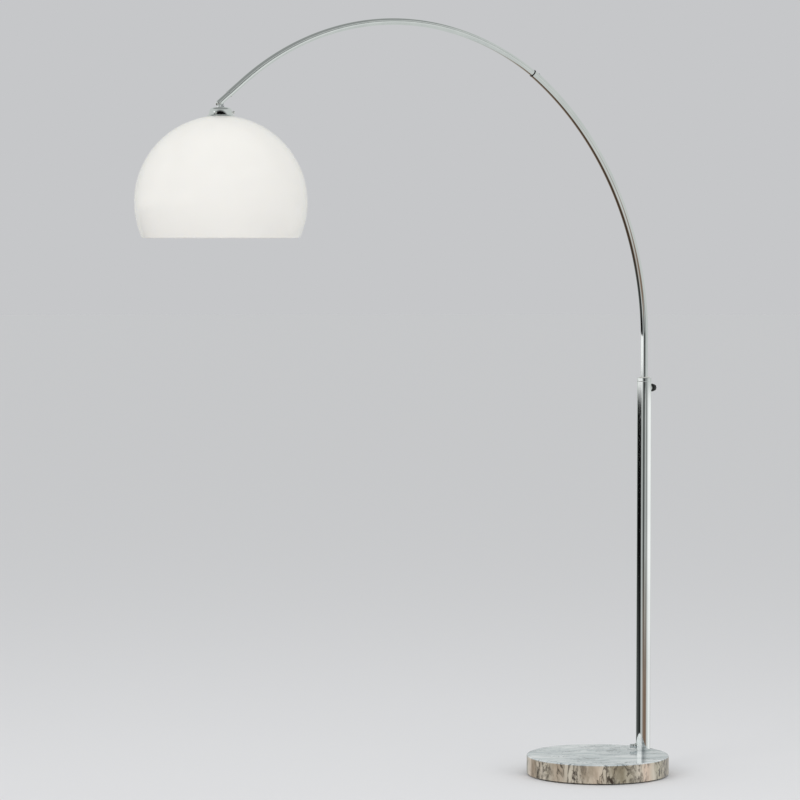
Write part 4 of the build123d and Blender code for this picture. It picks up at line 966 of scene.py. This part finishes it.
# Opal acrylic: warm white, glossy, with a long shallow waviness from blowing. Dust dulls it
# in clouds over a millimetre wide, because single specks are too fine to show.
wave_length = 0.070
dust_cloud = 0.001429
waviness = grain(tree, wave_length, 1.0)
opal_tone = set_stops(add_node(tree, "ShaderNodeValToRGB", {"Fac": waviness}),
                      [(0.3, "F1EEE8"), (0.7, "F3F0EA")])
opal_rough = add_node(tree, "ShaderNodeMapRange", {
    "Value": grain(tree, dust_cloud), "From Min": 0.35, "From Max": 0.75, "To Min": 0.16, "To Max": 0.26})
opal_bump = add_node(tree, "ShaderNodeBump", {"Height": waviness, "Strength": 0.05, "Distance": 0.0004})
surface(tree, {"Base Color": opal_tone, "Roughness": opal_rough.outputs["Result"],
               "IOR": 1.49, "Specular IOR Level": 0.35, "Subsurface Weight": 0.15,
               "Subsurface Radius": (0.010, 0.009, 0.007), "Subsurface Scale": 1.0,
               "Normal": opal_bump.outputs["Normal"]})

shade_wall = 0.003
crown_hole = math.asin((neck_radius + 0.0002) / shade_radius)
rim_lean = math.acos((shade_low.z - shade_centre) / shade_radius)
shade_bm = bmesh.new()
first = shade_bm.verts.new((shade_radius * math.sin(crown_hole), 0, shade_radius * math.cos(crown_hole)))
bmesh.ops.spin(shade_bm, geom=[first], cent=(0, 0, 0), axis=(0, 1, 0), angle=rim_lean - crown_hole, steps=72,
               use_merge=False)
bmesh.ops.spin(shade_bm, geom=shade_bm.verts[:] + shade_bm.edges[:], cent=(0, 0, 0), axis=(0, 0, 1),
               angle=math.radians(360), steps=192, use_merge=True)
bmesh.ops.remove_doubles(shade_bm, verts=shade_bm.verts, dist=1e-7)
bmesh.ops.recalc_face_normals(shade_bm, faces=shade_bm.faces)
bmesh.ops.solidify(shade_bm, geom=shade_bm.faces, thickness=shade_wall)
ease_edges(shade_bm, 0.0007)
finish_piece(shade_bm, "blown_opal_dome", opal_acrylic, "shade", ["lamp_shade"],
             place=Matrix.Translation((cap_axis.x, 0, shade_centre)))


# ---------------------------------------------------------------- gasket and ring nut
# A rubber washer under the dome and a turned aluminium ring nut on the neck, with four
# notches for a wrench, clamp the dome from inside.
# Turned aluminium: pale and bright, a little uneven where the tool has rubbed.
turned_aluminium = mottled_finish("turned_aluminium", 0.001667, ("B9BBBD", "CDCFD0"), (0.22, 0.36),
                                  {"Metallic": 1.0})

coat("shade_gasket", black_rubber)
softened("shade_ring_nut", "notched_ring_nut", turned_aluminium, "shade", 0.0004)


# ---------------------------------------------------------------- lamp holder
# A two-piece moulded holder screws on the nipple; its ceramic insert carries the pressed
# brass sleeve and the springy centre contact.
# Steatite: chalky off-white, unglazed, with faint grey freckles.
steatite = mottled_finish("steatite_ceramic", 0.00125, ("D6D2C8", "E4E1D8"), 0.7, {"IOR": 1.55})

# Brass strip: yellow, bright from the press, slightly dulled.
brass = mottled_finish("pressed_brass", 0.003333, ("A98945", "CBAE66"), (0.22, 0.4), {"Metallic": 1.0}, 3.0)

cover_low, cover_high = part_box("holder_cover")
body_low, body_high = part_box("holder_body")
holder_radius = (cover_high.x - cover_low.x) / 2
holder_wall = 0.0022
cover_roof = cover_high.z - holder_wall
cover_bm = turned([(holder_radius - holder_wall, cover_low.z), (holder_radius, cover_low.z),
                   (holder_radius, cover_low.z + 0.008), (holder_radius - 0.0012, cover_low.z + 0.011),
                   (0.0130, cover_high.z - 0.004), (0.0112, cover_high.z - 0.0012), (0.009, cover_high.z),
                   (nipple_radius + 0.00005, cover_high.z), (nipple_radius + 0.00005, cover_roof),
                   (0.0085, cover_roof), (holder_radius - holder_wall, cover_low.z + 0.008)])
ease_edges(cover_bm, 0.0004)
finish_piece(cover_bm, "moulded_holder_cover", black_abs, "shade", ["holder_cover"],
             place=Matrix.Translation(nipple_axis))

lip_radius = holder_radius + 0.001
grip_bm = turned([(holder_radius - holder_wall, body_low.z), (lip_radius, body_low.z),
                  (lip_radius, body_low.z + 0.003), (holder_radius, body_low.z + 0.004),
                  (holder_radius, body_high.z - 0.0006),
                  (holder_radius - 0.0006, body_high.z), (holder_radius - holder_wall, body_high.z)])
ease_edges(grip_bm, 0.0004)
finish_piece(grip_bm, "moulded_holder_body", black_abs, "shade", ["holder_body"],
             place=Matrix.Translation(nipple_axis))

softened("holder_insert", "ceramic_holder_insert", steatite, "shade", 0.0004)
softened("socket_contact", "springy_centre_contact", brass, "shade", 0.0001)

sleeve_low, sleeve_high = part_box("socket_sleeve")
sleeve_radius = (sleeve_high.x - sleeve_low.x) / 2
screw_pitch = 0.00363
sleeve_outline = []
sleeve_steps = int((sleeve_high.z - sleeve_low.z) / (screw_pitch / 2))
for i in range(sleeve_steps + 1):
    sleeve_outline.append((sleeve_radius - (0.00025 if i % 2 else 0.0), sleeve_low.z + i * screw_pitch / 2))
sleeve_bm = spun_shell(sleeve_outline, 0.0003, 64)
finish_piece(sleeve_bm, "pressed_socket_sleeve", brass, "shade", ["socket_sleeve"], 60.0,
             place=Matrix.Translation(nipple_axis))


# ---------------------------------------------------------------- bulb
# A screw-in LED bulb: rolled aluminium cap, white moulded housing, the board with its light
# sources, and an opal globe snapped on.
# PBT: cool white, satin, with a barely visible mould flow.
moulded_white = mottled_finish("moulded_white_pbt", 0.008333, ("E2E2DF", "ECECE9"), (0.3, 0.4),
                               {"IOR": 1.55}, stretch=(1, 1, 0.3))

# Opal polycarbonate: milky, even, soft-edged gloss.
opal_globe = mottled_finish("opal_polycarbonate", 0.01667, ("EFECE2", "F5F3EC"), (0.28, 0.36),
                            {"IOR": 1.58, "Subsurface Weight": 0.3,
                             "Subsurface Radius": (0.004, 0.004, 0.003), "Subsurface Scale": 1.0})

cap_end_low, cap_end_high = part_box("bulb_cap")
bulb_cap_radius = (cap_end_high.x - cap_end_low.x) / 2
cap_outline = [(0, cap_end_low.z), (bulb_cap_radius, cap_end_low.z)]
cap_height = cap_end_low.z + 0.002
while cap_height < cap_end_high.z - 0.0075:
    cap_outline += [(bulb_cap_radius, cap_height), (bulb_cap_radius - 0.0008, cap_height + screw_pitch / 2)]
    cap_height += screw_pitch
cap_outline += [(bulb_cap_radius - 0.0004, cap_end_high.z - 0.0062), (0.0070, cap_end_high.z - 0.0022),
                (0.0045, cap_end_high.z - 0.0012), (0.0045, cap_end_high.z - 0.0003),
                (0.0040, cap_end_high.z),
                (0, cap_end_high.z)]
bulb_cap_bm = turned(cap_outline, 64)
finish_piece(bulb_cap_bm, "rolled_bulb_cap", turned_aluminium, "shade", ["bulb_cap"],
             60.0,
             place=Matrix.Translation(nipple_axis))

housing_low, housing_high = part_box("bulb_housing")
globe_low, globe_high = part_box("bulb_globe")
bulb_radius = (globe_high.x - globe_low.x) / 2
housing_bm = turned([(0, housing_high.z), (bulb_cap_radius - 0.001, housing_high.z),
                     (0.0145, housing_high.z - 0.002),
                     (0.0160, housing_high.z - 0.008), (0.0181, housing_high.z - 0.018),
                     (0.0222, housing_high.z - 0.029), (bulb_radius - 0.003, housing_low.z + 0.008),
                     (bulb_radius - 0.0012, housing_low.z + 0.0006), (bulb_radius - 0.0018, housing_low.z),
                     (0, housing_low.z)], 96)
finish_piece(housing_bm, "moulded_bulb_housing", moulded_white, "shade", ["bulb_housing"],
             50.0,
             place=Matrix.Translation(nipple_axis))

globe_wall = 0.0012
globe_middle = globe_low.z + bulb_radius
seat_lean = math.acos(max(-1.0, min(1.0, (globe_high.z - globe_middle) / bulb_radius)))
globe_bm = bmesh.new()
seat = globe_bm.verts.new((bulb_radius * math.sin(seat_lean), 0, bulb_radius * math.cos(seat_lean)))
bmesh.ops.spin(globe_bm, geom=[seat], cent=(0, 0, 0), axis=(0, 1, 0), angle=math.pi - seat_lean, steps=32,
               use_merge=False)
bmesh.ops.spin(globe_bm, geom=globe_bm.verts[:] + globe_bm.edges[:], cent=(0, 0, 0), axis=(0, 0, 1),
               angle=math.radians(360), steps=96, use_merge=True)
bmesh.ops.remove_doubles(globe_bm, verts=globe_bm.verts, dist=1e-6)
bmesh.ops.recalc_face_normals(globe_bm, faces=globe_bm.faces)
bmesh.ops.solidify(globe_bm, geom=globe_bm.faces, thickness=globe_wall)
finish_piece(globe_bm, "opal_bulb_globe", opal_globe, "shade", ["bulb_globe"],
             place=Matrix.Translation((nipple_axis.x, 0, globe_middle)))

coat("led_board", turned_aluminium)


# ---------------------------------------------------------------- mains lead inside the lamp
# One clear-grey round lead runs up the pole and along the arm, leaves the arm's end through
# its flat mouth, and bends down into the nipple.
# PVC sheath: pale grey, satin, with an extrusion grain drawn coarse enough to show.
lead_sheath = mottled_finish("pvc_lead_sheath", 0.002, ("B9BDBE", "CDD0D0"), (0.3, 0.42), {"IOR": 1.53})

for node in ("arm_lead", "shade_lead"):
    coat(node, lead_sheath)

riser_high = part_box("pole_lead")[1].z
riser_length = 0.36
riser_cuts = 30
riser_start = riser_high - riser_length
riser_bm = bmesh.new()
riser_bm.from_mesh(frame["nodes"]["pole_lead"].data)
bmesh.ops.remove_doubles(riser_bm, verts=riser_bm.verts, dist=1e-6)
for i in range(riser_cuts):
    bmesh.ops.bisect_plane(riser_bm, geom=riser_bm.verts[:] + riser_bm.edges[:] + riser_bm.faces[:],
                           plane_co=(0, 0, riser_start + i * riser_length / riser_cuts), plane_no=(0, 0, 1))
riser = finish_piece(riser_bm, "stretching_pole_lead", lead_sheath, None, ["pole_lead"])
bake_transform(riser)

tip_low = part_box("tip_lead")[0]
tip_bend = 0.01121
tip_run = 0.0066
tip_turn = math.pi - tube_end.lean
pivot_way = Way(pivot.x, pivot.z, tube_end.lean)
turn_back = (nipple_axis.x - pivot.x) / math.sin(tube_end.lean)
tip_start_back = 0.012
tip_way = pivot_way.straight_on(-turn_back - tip_start_back)
tip_bend_way = tip_way.straight_on(tip_run)
tip_end = tip_bend_way.round_on(tip_bend, tip_turn)
tip_bm, ring = start_tube(lead_radius, facing(tip_way.ahead(), tip_way.at), 32)
bmesh.ops.contextual_create(tip_bm, geom=ring)
ring = run_straight(tip_bm, ring, tip_way.ahead() * tip_run)
ring = run_round(tip_bm, ring, tip_bend_way.centre(tip_bend), tip_turn, 12)
drop = tip_end.at.z - tip_low.z
drop_steps = 8
for i in range(drop_steps):
    ring = run_straight(tip_bm, ring, (0, 0, -drop / drop_steps))
bmesh.ops.contextual_create(tip_bm, geom=ring)
bmesh.ops.remove_doubles(tip_bm, verts=tip_bm.verts, dist=1e-7)
tip_piece = finish_piece(tip_bm, "flexing_tip_lead", lead_sheath, None, ["tip_lead"])
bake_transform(tip_piece)
